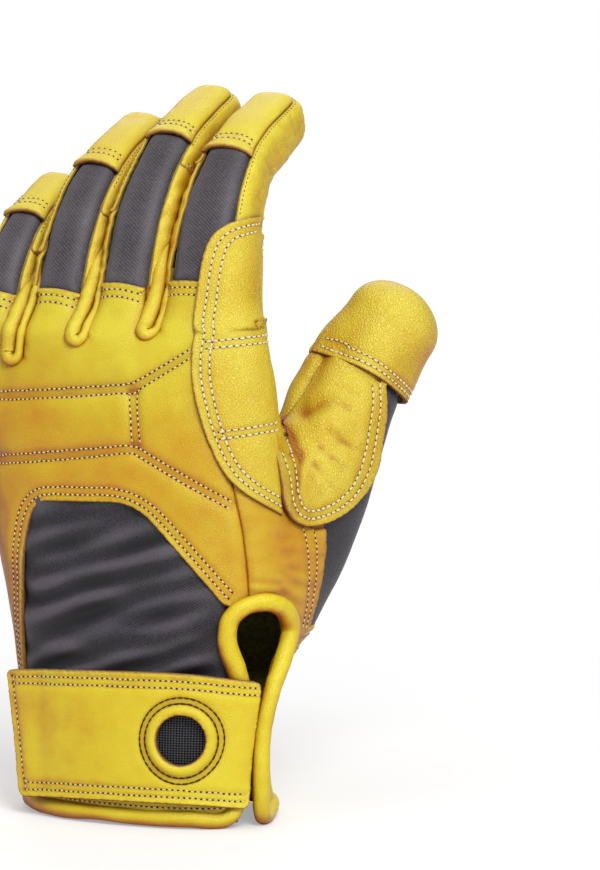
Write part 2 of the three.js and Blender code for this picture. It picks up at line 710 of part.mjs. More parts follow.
// Fourchettes: a strip down one finger, round the web and up the next, with a folded
// tongue that runs on over the back and over the palm.
// The strips turn at the web. The search for its floor starts this far below, and the
// flanks stop short of it by the rounding.
const WEB = { up: 171, sink: 8, rounding: 6 };
const TONGUE = { width: 8.5, top: 169.6, palm: 156 };
const CREASE_DEEP = 1.8; // shallower clearing where the fingers close in
const TONGUE_ENDS = [164, 161, 153]; // heights of the tongues' round ends on the back
const placeAt = (tube, up) => {
  let s = 0;
  while (tube.at(s).centre.z < up && s < tube.length) s += 0.5;
  return s;
};
TONGUE_ENDS.forEach((end, i) => {
  const [a, b] = [fingers[i], fingers[i + 1]];
  const low = (tube) => placeAt(tube, WEB.up - WEB.sink);
  const web = range(STRIP_COLUMNS, -SEAM_SHARE, SEAM_SHARE).map((share) => {
    const left = b.strip(1, share, low(b)).point;
    const right = a.strip(-1, share, low(a)).point;
    const up = new THREE.Vector3(0, 0, 1);
    return { ...seat({ point: left.lerp(right, 0.5), way: up }), normal: up };
  });
  const strip = [
    ...range(4, FINGER_SEAMS[i].far, placeAt(a, WEB.up + WEB.rounding)).map((s) => flank(a, -1, s)),
    web,
    ...range(4, placeAt(b, WEB.up + WEB.rounding), FINGER_SEAMS[i + 1].near).map((s) => flank(b, 1, s)),
  ];
  const middle = (up) => {
    const [right, left] = [a.at(placeAt(a, up)), b.at(placeAt(b, up))];
    return (right.centre.x - right.width + left.centre.x + left.width) / 2;
  };
  const tongue = (side, foot) =>
    grid(3, 2, (u, v) => {
      const up = lerp(foot, TONGUE.top, u);
      const half = (TONGUE.width / 2) * (u === 0 ? 0.6 : 1);
      return onFace(side, middle(up) + lerp(-half, half, v), up);
    });
  panel(`fourchette_${FINGERS[i].name}_${FINGERS[i + 1].name}`, LEATHER_LOOK, [
    [{ ...HIDE, deep: CREASE_DEEP }, strip],
    [{ ...REINFORCED, deep: CREASE_DEEP }, tongue(-1, end)],
    [{ ...REINFORCED, deep: CREASE_DEEP }, tongue(1, TONGUE.palm)],
  ]);
});

// Thumb cap, closed all round, and the patch over the crotch
const capSolid = (from, rise) => core(thumb, from, rise);
add(
  "thumb_cap",
  LEATHER_LOOK,
  capSolid(THUMB_CAP, LEATHER_RISE).subtract(capSolid(THUMB_CAP - 2, LEATHER_RISE - LEATHER)),
  capSolid(THUMB_CAP - CUT_GAP, LEATHER_RISE + CUT_GAP),
);
// Edges on the thumb: place along it, then the angle round it (0 over the nail, 90 palm).
const CROTCH_NAIL_EDGE = [[41, -54], [45, -36], [55.5, -12], [67.5, 9], [81, -3], [97, -21]];
const PATCH_TIP = 41; // the patch's pointed end on the thumb
const CROTCH_PALM_EDGE = [[41, -75], [52, -110], [58, -215], [97, -225]];
const thumbGrid = (rows, columns, from, to, edgeA, edgeB) =>
  grid(rows, columns, (u, v) => {
    const s = lerp(from, to, u);
    return onThumb(lerp(along(edgeA, s), along(edgeB, s), v), s);
  });
// Where the thumb patch lies on the hand: height, then the angle round the hand.
const CROTCH_INDEX_EDGE = [[97, 84], [104, 71], [112, 66], [120, 66], [131, 72]];
const CROTCH_LOW_EDGE = [[97, 92], [104, 116], [131, 128]];
const CROTCH = { low: 97, top: 131 };
const crotchGrid = grid(4, 4, (u, v) => {
  const up = lerp(CROTCH.low, CROTCH.top, u);
  return onHand(lerp(along(CROTCH_INDEX_EDGE, up), along(CROTCH_LOW_EDGE, up), v), up);
});
panel("thumb_patch", PATCH_LOOK, [
  [REINFORCED, thumbGrid(6, 9, PATCH_TIP, THUMB_CAP, CROTCH_NAIL_EDGE, CROTCH_PALM_EDGE)],
  [REINFORCED, crotchGrid],
]);

// Palm patch, wrapped over the index finger's side and on to the back
const INDEX_WRAP = [[102, 78], [105, 68], [114, 60], [124, 48], [138, 39], [150, 36], [165, 37]];
const PALM_PATCH = { low: 102, line: 135, top: 164, far: 262 };
const PATCH_FOOT = 23; // where its tabs up the fingers start, inside the palm part
const PALM_PATCH_HEEL = [[102, 98], [112, 112], [119, 146], [136, 165]];
const INDEX_WRAP_EDGE = [[20, 3], [52, 3], [55.5, 12], [58.5, 24], [61.5, 51], [66, 87]];
const handGrid = (rows, columns, from, to, left, right) =>
  grid(rows, columns, (u, v) => {
    const up = lerp(from, to, u);
    return onHand(lerp(along(left, up), along(right, up), v), up);
  });
const at = (angle) => [[0, angle]];
const INDEX_WRAP_FAR = 224; // angle round the index where its wrap ends, next to the web
const indexWrap = grid(5, 7, (u, v) => {
  const s = lerp(PATCH_FOOT, FINGER_SEAMS[0].near + UNDER, u);
  return seat(fingers[0].ring(s, lerp(along(INDEX_WRAP_EDGE, s), INDEX_WRAP_FAR, v)));
});
panel("palm_patch", PATCH_LOOK, [
  [REINFORCED, handGrid(4, 6, PALM_PATCH.low, PALM_PATCH.line, INDEX_WRAP, PALM_PATCH_HEEL)],
  [REINFORCED, handGrid(3, 14, PALM_PATCH.line - 1, PALM_PATCH.top, INDEX_WRAP, at(PALM_PATCH.far))],
  [REINFORCED, indexWrap],
  ...FINGER_SEAMS.slice(1).map(({ front }, i) => [
    REINFORCED,
    faceGrid(fingers[i + 1], 1, 3, PATCH_FOOT, front),
  ]),
]);

// Thumb's palm side
const THUMB_PALM_EDGE = [[3, 70], [20, 75], [60, 85], [97, 85]];
const THUMB_INNER_EDGE = [[3, 158], [20, 168], [30, 178], [40, 192], [52, 215], [97, 225]];
const THUMB_FOOT = 3;
const INSIDE = 4; // a tube this far inside the form clears what lies within the glove
const thumbFront = thumbGrid(8, 6, THUMB_FOOT, THUMB_CAP, THUMB_PALM_EDGE, THUMB_INNER_EDGE);
panel("thumb_front", LEATHER_LOOK, [[{ ...HIDE, over: CUT_OVER }, thumbFront]], {
  cores: [core(hand, -BINDING, -INSIDE)],
});

// Panels of the back, the thumb's side and the palm
const SIDE_SEAM = [[0, 61], [77, 60], [116, 51], [170, 62]]; // height, angle round the hand
const LITTLE_SEAM = -78;
const HEM = 1; // panels end this far above the hem's lowest line, inside the binding
const BACK_TOP = HAND_LENGTH - 4; // the back's one wide part ends below the webs
const KNUCKLE_FOOT = 15; // where its tabs over the knuckles start
const WINDOW_LEFT = [[0, -57], [51, -57], [89, -41], [107, -30]];
const WINDOW_RIGHT = [[0, 78], [60, 78], [66, 52], [76, 43], [109, 8]];
const WINDOW_TOP = 108;
const THUMB_SIDE = [[62, 116], [98, 112], [126, 100]];
const thumbBore = core(thumb, 0, -INSIDE);
const LITTLE_SIDE = { foot: 14, back: -50, palm: -130 }; // the palm hide on the little finger
const littleSide = grid(3, 3, (u, v) => {
  const s = lerp(LITTLE_SIDE.foot, FINGER_SEAMS[3].far, u);
  return seat(fingers[3].ring(s, lerp(LITTLE_SIDE.back, LITTLE_SIDE.palm, v)));
});
panel(
  "back_panel",
  LEATHER_LOOK,
  [
    [HIDE, handGrid(12, 10, HEM, BACK_TOP, at(LITTLE_SEAM), SIDE_SEAM)],
    ...FINGER_SEAMS.map(({ knuckle }, i) => [
      HIDE,
      faceGrid(fingers[i], -1, 3, KNUCKLE_FOOT, knuckle),
    ]),
  ],
  { windows: [handGrid(6, 8, -BINDING, WINDOW_TOP, WINDOW_LEFT, WINDOW_RIGHT)] },
);
const SIDE = { from: 62, to: 126 }; // heights of the side panel's ends
const sideGrid = handGrid(5, 5, SIDE.from, SIDE.to, SIDE_SEAM, THUMB_SIDE);
panel("side_panel", LEATHER_LOOK, [[HIDE, sideGrid]], { cores: [thumbBore] });
const THUMB_CLOTH_FOOT = 6;
const THUMB_CLOTH_SIDE = [[6, 40], [15, 10], [30, -40], [97, -40]];
const THUMB_CLOTH_PALM = [[6, 80], [97, 90]];
panel("thumb_back", CLOTH_LOOK, [
  [WEAVE, thumbGrid(8, 4, THUMB_CLOTH_FOOT, THUMB_CAP, THUMB_CLOTH_SIDE, THUMB_CLOTH_PALM)],
]);
const HEEL = { top: 61, palm: 150 }; // heights where the heel and the palm end
const PALM_THUMB_EDGE = [[58, 109], [61, 112], [67, 160], [100, 162], [112, 150], [150, 164]];
panel(
  "palm_panel",
  LEATHER_LOOK,
  [
    [HIDE, handGrid(5, 13, HEM, HEEL.top, at(STRAP_ENDS.fixed), at(360 + LITTLE_SEAM))],
    [HIDE, handGrid(9, 11, HEEL.top - UNDER, HEEL.palm, PALM_THUMB_EDGE, at(360 + LITTLE_SEAM))],
    [HIDE, littleSide],
  ],
  { cores: [thumbBore] },
);

// Cloth over the wrist and the backs of the fingers
const WRIST_CLOTH = {
  left: [[0, -61], [51, -61], [107, -36]],
  right: [[0, 82], [62, 82], [76, 50], [112, 14]],
};
panel("wrist_panel", CLOTH_LOOK, [
  [WEAVE, handGrid(8, 9, HEM, WINDOW_TOP + UNDER, WRIST_CLOTH.left, WRIST_CLOTH.right)],
]);
FINGER_SEAMS.forEach(({ knuckle, cap }, i) => {
  const points = faceGrid(fingers[i], -1, 5, knuckle - UNDER, cap + UNDER);
  panel(`${FINGERS[i].name}_back`, CLOTH_LOOK, [[WEAVE, points]]);
});

const glove = new THREE.Group();
glove.name = "climbing_glove";
for (const body of bodies) glove.add(body);

export default glove;
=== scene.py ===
import math

import bpy
import numpy as np
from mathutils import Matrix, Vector
from mathutils.bvhtree import BVHTree
from mathutils.geometry import delaunay_2d_cdt


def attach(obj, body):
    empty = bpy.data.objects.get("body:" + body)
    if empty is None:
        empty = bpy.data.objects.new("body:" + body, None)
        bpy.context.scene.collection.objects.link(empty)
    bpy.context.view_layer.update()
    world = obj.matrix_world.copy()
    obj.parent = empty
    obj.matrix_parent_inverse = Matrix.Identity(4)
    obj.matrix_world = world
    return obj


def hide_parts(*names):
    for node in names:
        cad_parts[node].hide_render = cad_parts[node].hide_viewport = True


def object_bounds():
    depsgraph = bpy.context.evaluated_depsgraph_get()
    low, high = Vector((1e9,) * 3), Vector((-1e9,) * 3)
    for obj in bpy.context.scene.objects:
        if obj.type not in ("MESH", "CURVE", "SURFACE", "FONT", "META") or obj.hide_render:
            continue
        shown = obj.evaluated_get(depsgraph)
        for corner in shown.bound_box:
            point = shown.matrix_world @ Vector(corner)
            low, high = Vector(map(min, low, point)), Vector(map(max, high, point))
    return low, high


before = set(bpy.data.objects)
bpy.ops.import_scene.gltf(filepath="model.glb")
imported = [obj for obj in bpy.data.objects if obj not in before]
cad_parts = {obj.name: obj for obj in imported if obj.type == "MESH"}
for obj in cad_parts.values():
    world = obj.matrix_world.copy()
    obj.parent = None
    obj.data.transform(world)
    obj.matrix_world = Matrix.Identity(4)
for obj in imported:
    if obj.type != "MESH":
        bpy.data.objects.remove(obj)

# A left-hand climbing glove of golden cowhide and dark stretch cloth, standing on its open
# wrist. +Z runs from the hem to the fingers, the back of the hand faces -Y and the thumb is
# on the +X side. Sizes are millimetres and angles degrees; meshes are made in metres.

cad_box = [list(corner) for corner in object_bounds()]


# Wrist panel
# The stretch cloth over the back of the wrist, a dark twill cut wide and sewn under the
# hide round it. It is the first piece laid on the hand, so the hand's own shape and the
# way that a piece is cut and laid come with it.

MM = 0.001
PITCH = 1.0  # distance between the points of a laid piece
HAND_LENGTH = 162
WEB_ROUND = 7
PALM_WIDTH = 105.6
PALM_DEPTH = 45
HAND_BOXINESS = 2.35
FINGER_BOXINESS = 3
THUMB_BOXINESS = 2.3
REACH_LENGTH = 215  # the hand's sections are carried on this far, for pieces past the web

# Height as a share of the hand's length, shift and width as shares of the palm's width,
# depth as a share of its depth.
HAND_SECTIONS = [
    # up, shift, width, depth
    (0, 0.019, 0.83, 1.24),
    (0.15, 0.009, 0.85, 1.22),
    (0.31, 0.005, 0.9, 1.2),
    (0.46, 0, 0.95, 1.18),
    (0.63, -0.028, 1, 1.11),
    (0.77, -0.057, 1, 1),
    (0.89, -0.08, 0.99, 0.87),
    (1, -0.1, 0.96, 0.7),
]

# From the thumb's side. Places along a finger start at FINGER_START: tube is where the
# tip's rounding begins, knuckle where the cloth begins, cap where the hide tip begins,
# near and far where the strip round the tip ends, and front where the palm patch ends.
FINGER_START = 138
FINGER_GAP = 2.4
FINGER_ROUND = 10.5
INDEX_FLARE = 5
MIDDLE_ACROSS = -8.5
ROOT_CURL = 5
STRAIGHT_SHARE = 0.22
TIP_TAPER = 0.8
FINGERS = [
    dict(name="index", width=24.2, depth=25.4, tube=117, lean=2, curl=72,
         knuckle=45, cap=85, near=64, far=80, front=58),
    dict(name="middle", width=23.2, depth=25, tube=119, lean=3.5, curl=72,
         knuckle=43, cap=90, near=80, far=62, front=60),
    dict(name="ring", width=22.6, depth=24.4, tube=107, lean=4.5, curl=72,
         knuckle=40, cap=78, near=62, far=48, front=55),
    dict(name="little", width=20.4, depth=22.4, tube=79, lean=4.5, curl=68,
         knuckle=38, cap=60, near=48, far=46, front=44),
]

# From the heel of the hand to the thumb's tip.
THUMB_SECTIONS = [
    # across, out, up, width, depth
    (27, 14, 60, 44, 38),
    (38, 24, 85, 44, 38),
    (46, 34, 108, 40, 36),
    (50, 43, 128, 36, 34),
    (55, 52, 146, 34, 32),
    (62, 61, 161, 31, 29),
]
THUMB_NAIL = np.array([1, -0.25, -0.3])
THUMB_ROUND = 13
THUMB_CAP = 97

UP = np.array([0.0, 0.0, 1.0])


def unit(vectors):
    return vectors / np.maximum(np.linalg.norm(vectors, axis=-1, keepdims=True), 1e-12)


def signed_power(value, power):
    return np.sign(value) * np.abs(value) ** power


def smoothstep(value, low, high):
    t = np.clip((value - low) / (high - low), 0, 1)
    return t * t * (3 - 2 * t)


def smooth_rows(places, rows, at):
    """Table rows read at places by a smooth curve through them."""
    places, rows, at = (np.asarray(v, float) for v in (places, rows, at))
    slopes = np.gradient(rows, places, axis=0)
    i = np.clip(np.searchsorted(places, at, side="right") - 1, 0, len(places) - 2)
    span = (places[i + 1] - places[i])[:, None]
    t = (at - places[i])[:, None] / span
    start = (2 * t**3 - 3 * t**2 + 1) * rows[i] + (t**3 - 2 * t**2 + t) * span * slopes[i]
    end = (3 * t**2 - 2 * t**3) * rows[i + 1] + (t**3 - t**2) * span * slopes[i + 1]
    return start + end


class Tube:
    """A rounded-box tube along stations, with a rounded far end."""

    def __init__(self, s, centre, side, front, along, width, depth, boxiness, end, closed):
        self.s = s
        self.rows = np.column_stack([centre, side, front, along, width, depth])
        self.boxiness, self.end, self.closed = boxiness, end, closed
        self.length = s[-1]

    def at(self, s):
        s = np.clip(s, 0, self.length)
        i = np.clip(np.searchsorted(self.s, s, side="right") - 1, 0, len(self.s) - 2)
        t = ((s - self.s[i]) / (self.s[i + 1] - self.s[i]))[..., None]
        row = self.rows[i] * (1 - t) + self.rows[i + 1] * t
        centre, side, front, along = (row[..., k:k + 3] for k in (0, 3, 6, 9))
        return centre, side, front, along, row[..., 12:13], row[..., 13:14]

    def place(self, s, across, deep, beyond):
        """The point at shares of the half width, half depth and end, and its way out."""
        centre, side, front, along, width, depth = self.at(s)
        across, deep, beyond = (np.asarray(v)[..., None] for v in (across, deep, beyond))
        power = self.boxiness - 1
        point = centre + side * across * width + front * deep * depth + along * beyond * self.end
        way = (
            side * signed_power(across, power) / width
            + front * signed_power(deep, power) / depth
            + along * signed_power(beyond, power) / self.end
        )
        return point, unit(way)

    def ring(self, s, angle):
        """On the section at an angle: 0 is the back, 90 the thumb's side, 180 the palm."""
        past = np.clip((s - self.length) / (1.3 * self.end), 0, 1) * math.pi / 2
        power = 2 / self.boxiness
        shrink = np.cos(past) ** power
        turn = np.radians(angle)
        return self.place(
            s,
            signed_power(np.sin(turn), power) * shrink,
            -signed_power(np.cos(turn), power) * shrink,
            np.sin(past) ** power,
        )

    def face(self, side, share, s):
        """On the back (side -1) or palm face (+1), at a share of the half width."""
        n = self.boxiness
        beyond = np.clip((s - self.length) / self.end, 0, 1)
        deep = np.maximum(1 - np.abs(share) ** n - beyond**n, 0) ** (1 / n)
        return self.place(s, share, side * deep, beyond)

    def strip(self, turn, share, s):
        """On the strip up one flank (turn -1), over the tip and down the other (+1)."""
        n = self.boxiness
        rest = (1 - np.abs(share) ** n) ** (1 / n)
        angle = np.clip(turn, -1, 1) * math.pi / 2
        across = signed_power(np.sin(angle), 2 / n) * rest
        return self.place(s, across, share, np.abs(np.cos(angle)) ** (2 / n) * rest)

    def distance(self, points):
        """Distance from points to the tube's surface, negative inside."""
        starts = self.rows[:-1, 0:3]
        spans = np.diff(self.rows[:, 0:3], axis=0)
        offsets = points[:, None, :] - starts[None]
        t = np.clip((offsets * spans).sum(2) / (spans**2).sum(1), 0, 1)
        offsets -= t[..., None] * spans
        nearest = (offsets**2).sum(2).argmin(1)
        index = np.arange(len(points))
        t, offset = t[index, nearest], offsets[index, nearest]
        row = self.rows[nearest] * (1 - t)[:, None] + self.rows[nearest + 1] * t[:, None]
        width, depth = row[:, 12], row[:, 13]
        at_end = (nearest == len(spans) - 1) & (t >= 1)
        at_start = (nearest == 0) & (t <= 0) if self.closed else False
        beyond = np.where(at_end | at_start, (offset * row[:, 9:12]).sum(1), 0)
        shares = [
            (np.abs((offset * row[:, 3:6]).sum(1)) / width, width),
            (np.abs((offset * row[:, 6:9]).sum(1)) / depth, depth),
            (np.abs(beyond) / self.end, self.end),
        ]
        n = self.boxiness
        reach = sum(share**n for share, _ in shares) ** (1 / n) + 1e-9
        slope = np.sqrt(sum((share ** (n - 1) / half) ** 2 for share, half in shares))
        slope = slope * reach ** (1 - n) + 1e-9
        return np.maximum((reach - 1) / slope, -np.minimum(width, depth))


def hand_tube(steps=30, reach=None):
    up = np.linspace(0, 1, steps + 1)
    table = np.array(HAND_SECTIONS)
    shift, width, depth = smooth_rows(table[:, 0], table[:, 1:], up).T
    s = up * HAND_LENGTH
    if reach:
        s = np.append(s, reach)
        shift, width, depth = (np.append(v, v[-1]) for v in (shift, width, depth))
    ones = np.ones(len(s))
    centre = np.column_stack([shift * PALM_WIDTH, 0.5 * ones, s])
    ways = [np.outer(ones, way) for way in ((1, 0, 0), (0, 1, 0), (0, 0, 1))]
    return Tube(
        s, centre, *ways, PALM_WIDTH * width / 2, PALM_DEPTH * depth / 2,
        HAND_BOXINESS, WEB_ROUND, False,
    )


def finger_tube(finger, root, flare, steps=28):
    share = np.linspace(0, 1, steps + 1)
    lean = math.radians(finger["lean"])
    side = np.array([math.cos(lean), 0, -math.sin(lean)])

    def ways(share):
        bent = smoothstep(share, STRAIGHT_SHARE, 1)
        curl = np.radians(ROOT_CURL + (finger["curl"] - ROOT_CURL) * bent)
        upright = np.outer(np.cos(curl), [math.sin(lean), 0, math.cos(lean)])
        forward = np.outer(np.sin(curl), [0, 1, 0])
        tipped = np.outer(np.sin(curl), [-math.sin(lean), 0, -math.cos(lean)])
        return upright + forward, tipped + np.outer(np.cos(curl), [0, 1, 0])

    along, front = ways(share)
    steps_ahead = ways(share[1:] - 0.5 / steps)[0] * finger["tube"] / steps
    spine = np.array([root, 0, FINGER_START]) + np.vstack([np.zeros(3), steps_ahead.cumsum(0)])
    grow = flare * np.maximum(1 - share / 0.75, 0)
    taper = 1 - (1 - TIP_TAPER) * share**2
    return Tube(
        share * finger["tube"], spine + grow[:, None] * side, np.tile(side, (steps + 1, 1)),
        front, along, finger["width"] / 2 * taper + grow, finger["depth"] / 2 * taper,
        FINGER_BOXINESS, FINGER_ROUND, True,
    )


def thumb_tube(steps=24):
    table = np.array(THUMB_SECTIONS, float)
    rows = np.arange(len(table))
    at = np.linspace(0, rows[-1], steps + 1)
    centre = smooth_rows(rows, table[:, :3], at)
    width, depth = (np.interp(at, rows, table[:, k]) / 2 for k in (3, 4))
    along = unit(np.gradient(centre, axis=0))
    back = unit(THUMB_NAIL - (along @ THUMB_NAIL)[:, None] * along)
    s = np.r_[0, np.linalg.norm(np.diff(centre, axis=0), axis=1).cumsum()]
    return Tube(
        s, centre, np.cross(-back, along), -back, along, width, depth,
        THUMB_BOXINESS, THUMB_ROUND, True,
    )


hand = hand_tube()
index_off = (FINGERS[0]["width"] + FINGERS[1]["width"]) / 2 + FINGER_GAP
roots = [MIDDLE_ACROSS + index_off, MIDDLE_ACROSS]
for inner, outer in zip(FINGERS[1:], FINGERS[2:]):
    roots.append(roots[-1] - (inner["width"] + outer["width"]) / 2 - FINGER_GAP)
fingers = [
    finger_tube(row, root, INDEX_FLARE if row["name"] == "index" else 0)
    for row, root in zip(FINGERS, roots)
]
thumb = thumb_tube()


def blend(a, b, band):
    near = np.maximum(band - np.abs(a - b), 0) / band
    return np.minimum(a, b) - near * near * band / 4


def form(points):
    """Distance from points to the outside of the hand in the glove."""
    parts = []
    for chunk in np.array_split(points, max(len(points) // 8000, 1)):
        d = fingers[0].distance(chunk)
        for tube in fingers[1:]:
            d = blend(d, tube.distance(chunk), 1.5)
        d = blend(d, hand.distance(chunk), 6)
        parts.append(blend(d, thumb.distance(chunk), 14))
    return np.concatenate(parts)


def seat(points, ways):
    """Slides points along their ways until they lie on the hand."""
    reach = 24
    t0, f0 = np.zeros(len(points)), form(points)
    t1 = np.clip(-f0, -reach, reach)
    for _ in range(6):
        f1 = form(points + ways * t1[:, None])
        moved = np.abs(t1 - t0) > 1e-6
        slope = np.where(moved, (f1 - f0) / np.where(moved, t1 - t0, 1), 1)
        slope = np.where(np.abs(slope) > 0.2, slope, 0.2)
        t0, f0, t1 = t1, f1, np.clip(t1 - f1 / slope, -reach, reach)
    return points + ways * t0[:, None]


def steepest(points, step=0.8):
    """The way straight out of the hand at points near its outside."""
    rise = [form(points + step * axis) - form(points - step * axis) for axis in np.eye(3)]
    return unit(np.column_stack(rise))


class Round:
    """Where a place is on a tube: angle round it from the back, and distance along it."""

    def __init__(self, tube, waist):
        self.tube = tube
        self.angles = np.linspace(-360, 360, 2881)
        points, _ = tube.ring(np.full(self.angles.shape, float(waist)), self.angles)
        arc = np.r_[0, np.linalg.norm(np.diff(points, axis=0), axis=1).cumsum()]
        self.arc = arc - arc[len(arc) // 2]

    def flat(self, rows):
        """Rows of angle and place as millimetres across and up the flat hide."""
        rows = np.asarray(rows, float)
        return np.column_stack([np.interp(rows[:, 0], self.angles, self.arc), rows[:, 1]])

    def lay(self, flat):
        ring, ways = self.tube.ring(flat[:, 1], np.interp(flat[:, 0], self.arc, self.angles))
        return seat(ring, ways), ways


class Face:
    """Where a place is on a finger's back or palm face: share of the half width, along."""

    def __init__(self, tube, side):
        self.tube, self.side = tube, side
        self.half = float(tube.rows[len(tube.s) // 2, 12])

    def flat(self, rows):
        rows = np.asarray(rows, float)
        return np.column_stack([rows[:, 0] * self.half, rows[:, 1]])

    def lay(self, flat):
        share = np.clip(flat[:, 0] / self.half, -0.97, 0.97)
        points, ways = self.tube.face(self.side, share, flat[:, 1])
        return seat(points, ways), ways


def to_path(points, path, closed=False):
    """Distance from each point to a path, and the nearest segment of the path."""
    ends = np.roll(path, -1, axis=0) if closed else path[1:]
    starts = path if closed else path[:-1]
    best, nearest = [], []
    spans = ends - starts
    lengths = np.maximum((spans**2).sum(1), 1e-12)
    for chunk in np.array_split(points, max(len(points) // 2000, 1)):
        offset = chunk[:, None, :] - starts[None]
        t = np.clip((offset * spans).sum(2) / lengths, 0, 1)
        d = np.linalg.norm(offset - t[..., None] * spans, axis=2)
        nearest.append(d.argmin(1))
        best.append(d.min(1))
    return np.concatenate(best), np.concatenate(nearest)


def inside(points, outline):
    """Which points are within a closed outline."""
    x, y = outline.T
    x2, y2 = np.roll(x, -1), np.roll(y, -1)
    px, py = points[:, 0:1], points[:, 1:2]
    crosses = (y > py) != (y2 > py)
    with np.errstate(divide="ignore", invalid="ignore"):
        at = x + (py - y) * (x2 - x) / (y2 - y)
    return (crosses & (px < at)).sum(1) % 2 == 1


def trace(chart, corners, usual, step=0.9):
    """A closed outline with its corners rounded: points, kind of edge and corner of each."""
    flat = chart.flat([row[:2] for row in corners])
    points, kinds, places = [], [], []
    for i, row in enumerate(corners):
        here, before, after = flat[i], flat[i - 1], flat[(i + 1) % len(flat)]
        kind = row[3] if len(row) > 3 else usual
        last = corners[i - 1][3] if len(corners[i - 1]) > 3 else usual
        radius = row[2]
        back, ahead = (np.linalg.norm(here - other) for other in (before, after))
        a = here + (before - here) * min(radius / back, 0.48)
        b = here + (after - here) * min(radius / ahead, 0.48)
        for t in np.linspace(0, 1, 7) if radius else [0.5]:
            points.append((1 - t) ** 2 * a + 2 * t * (1 - t) * here + t * t * b if radius else here)
            kinds.append(last if radius and t < 0.5 else kind)
            places.append(i + (t - 0.5) * 0.1)
    dense, dense_kinds, dense_places = [], [], []
    for i, start in enumerate(points):
        end = points[(i + 1) % len(points)]
        to = places[(i + 1) % len(points)]
        to = to if to > places[i] else to + len(corners)
        count = max(math.ceil(np.linalg.norm(end - start) / step), 1)
        for k in range(count):
            dense.append(start + (end - start) * k / count)
            dense_kinds.append(kinds[i])
            dense_places.append(places[i] + (to - places[i]) * k / count)
    return np.array(dense), dense_kinds, np.array(dense_places)


def inward(outline):
    """The way into a closed outline at each of its points."""
    ahead = unit(np.roll(outline, -1, axis=0) - np.roll(outline, 1, axis=0))
    x, y = outline.T
    turns = np.sign((x * np.roll(y, -1) - np.roll(x, -1) * y).sum())
    return np.column_stack([-ahead[:, 1], ahead[:, 0]]) * turns


def ripple(points, size, seed, stretch=(1, 1, 1)):
    """Smooth random heights between about -1 and 1, with bumps about that size."""
    random = np.random.default_rng(seed)
    total = np.zeros(len(points))
    waves = 14
    for _ in range(waves):
        way = unit(random.normal(size=3)) / np.array(stretch)
        wave = size * random.uniform(0.9, 1.9)
        total += np.sin(points @ way * (2 * math.pi / wave) + random.uniform(0, 2 * math.pi))
    return total / math.sqrt(waves)


# How an edge is finished: its rounding, and how far it sinks over what width.
EDGES = {
    "raw": (0.55, 0, 1),
    "seam": (1.1, 0.7, 2.2),
    "under": (0.1, 1.3, 3),
    "bound": (0.1, 0, 1),
}
INSETS = (0.2, 0.5, 1.0, 1.7)  # extra points follow the edge this far in


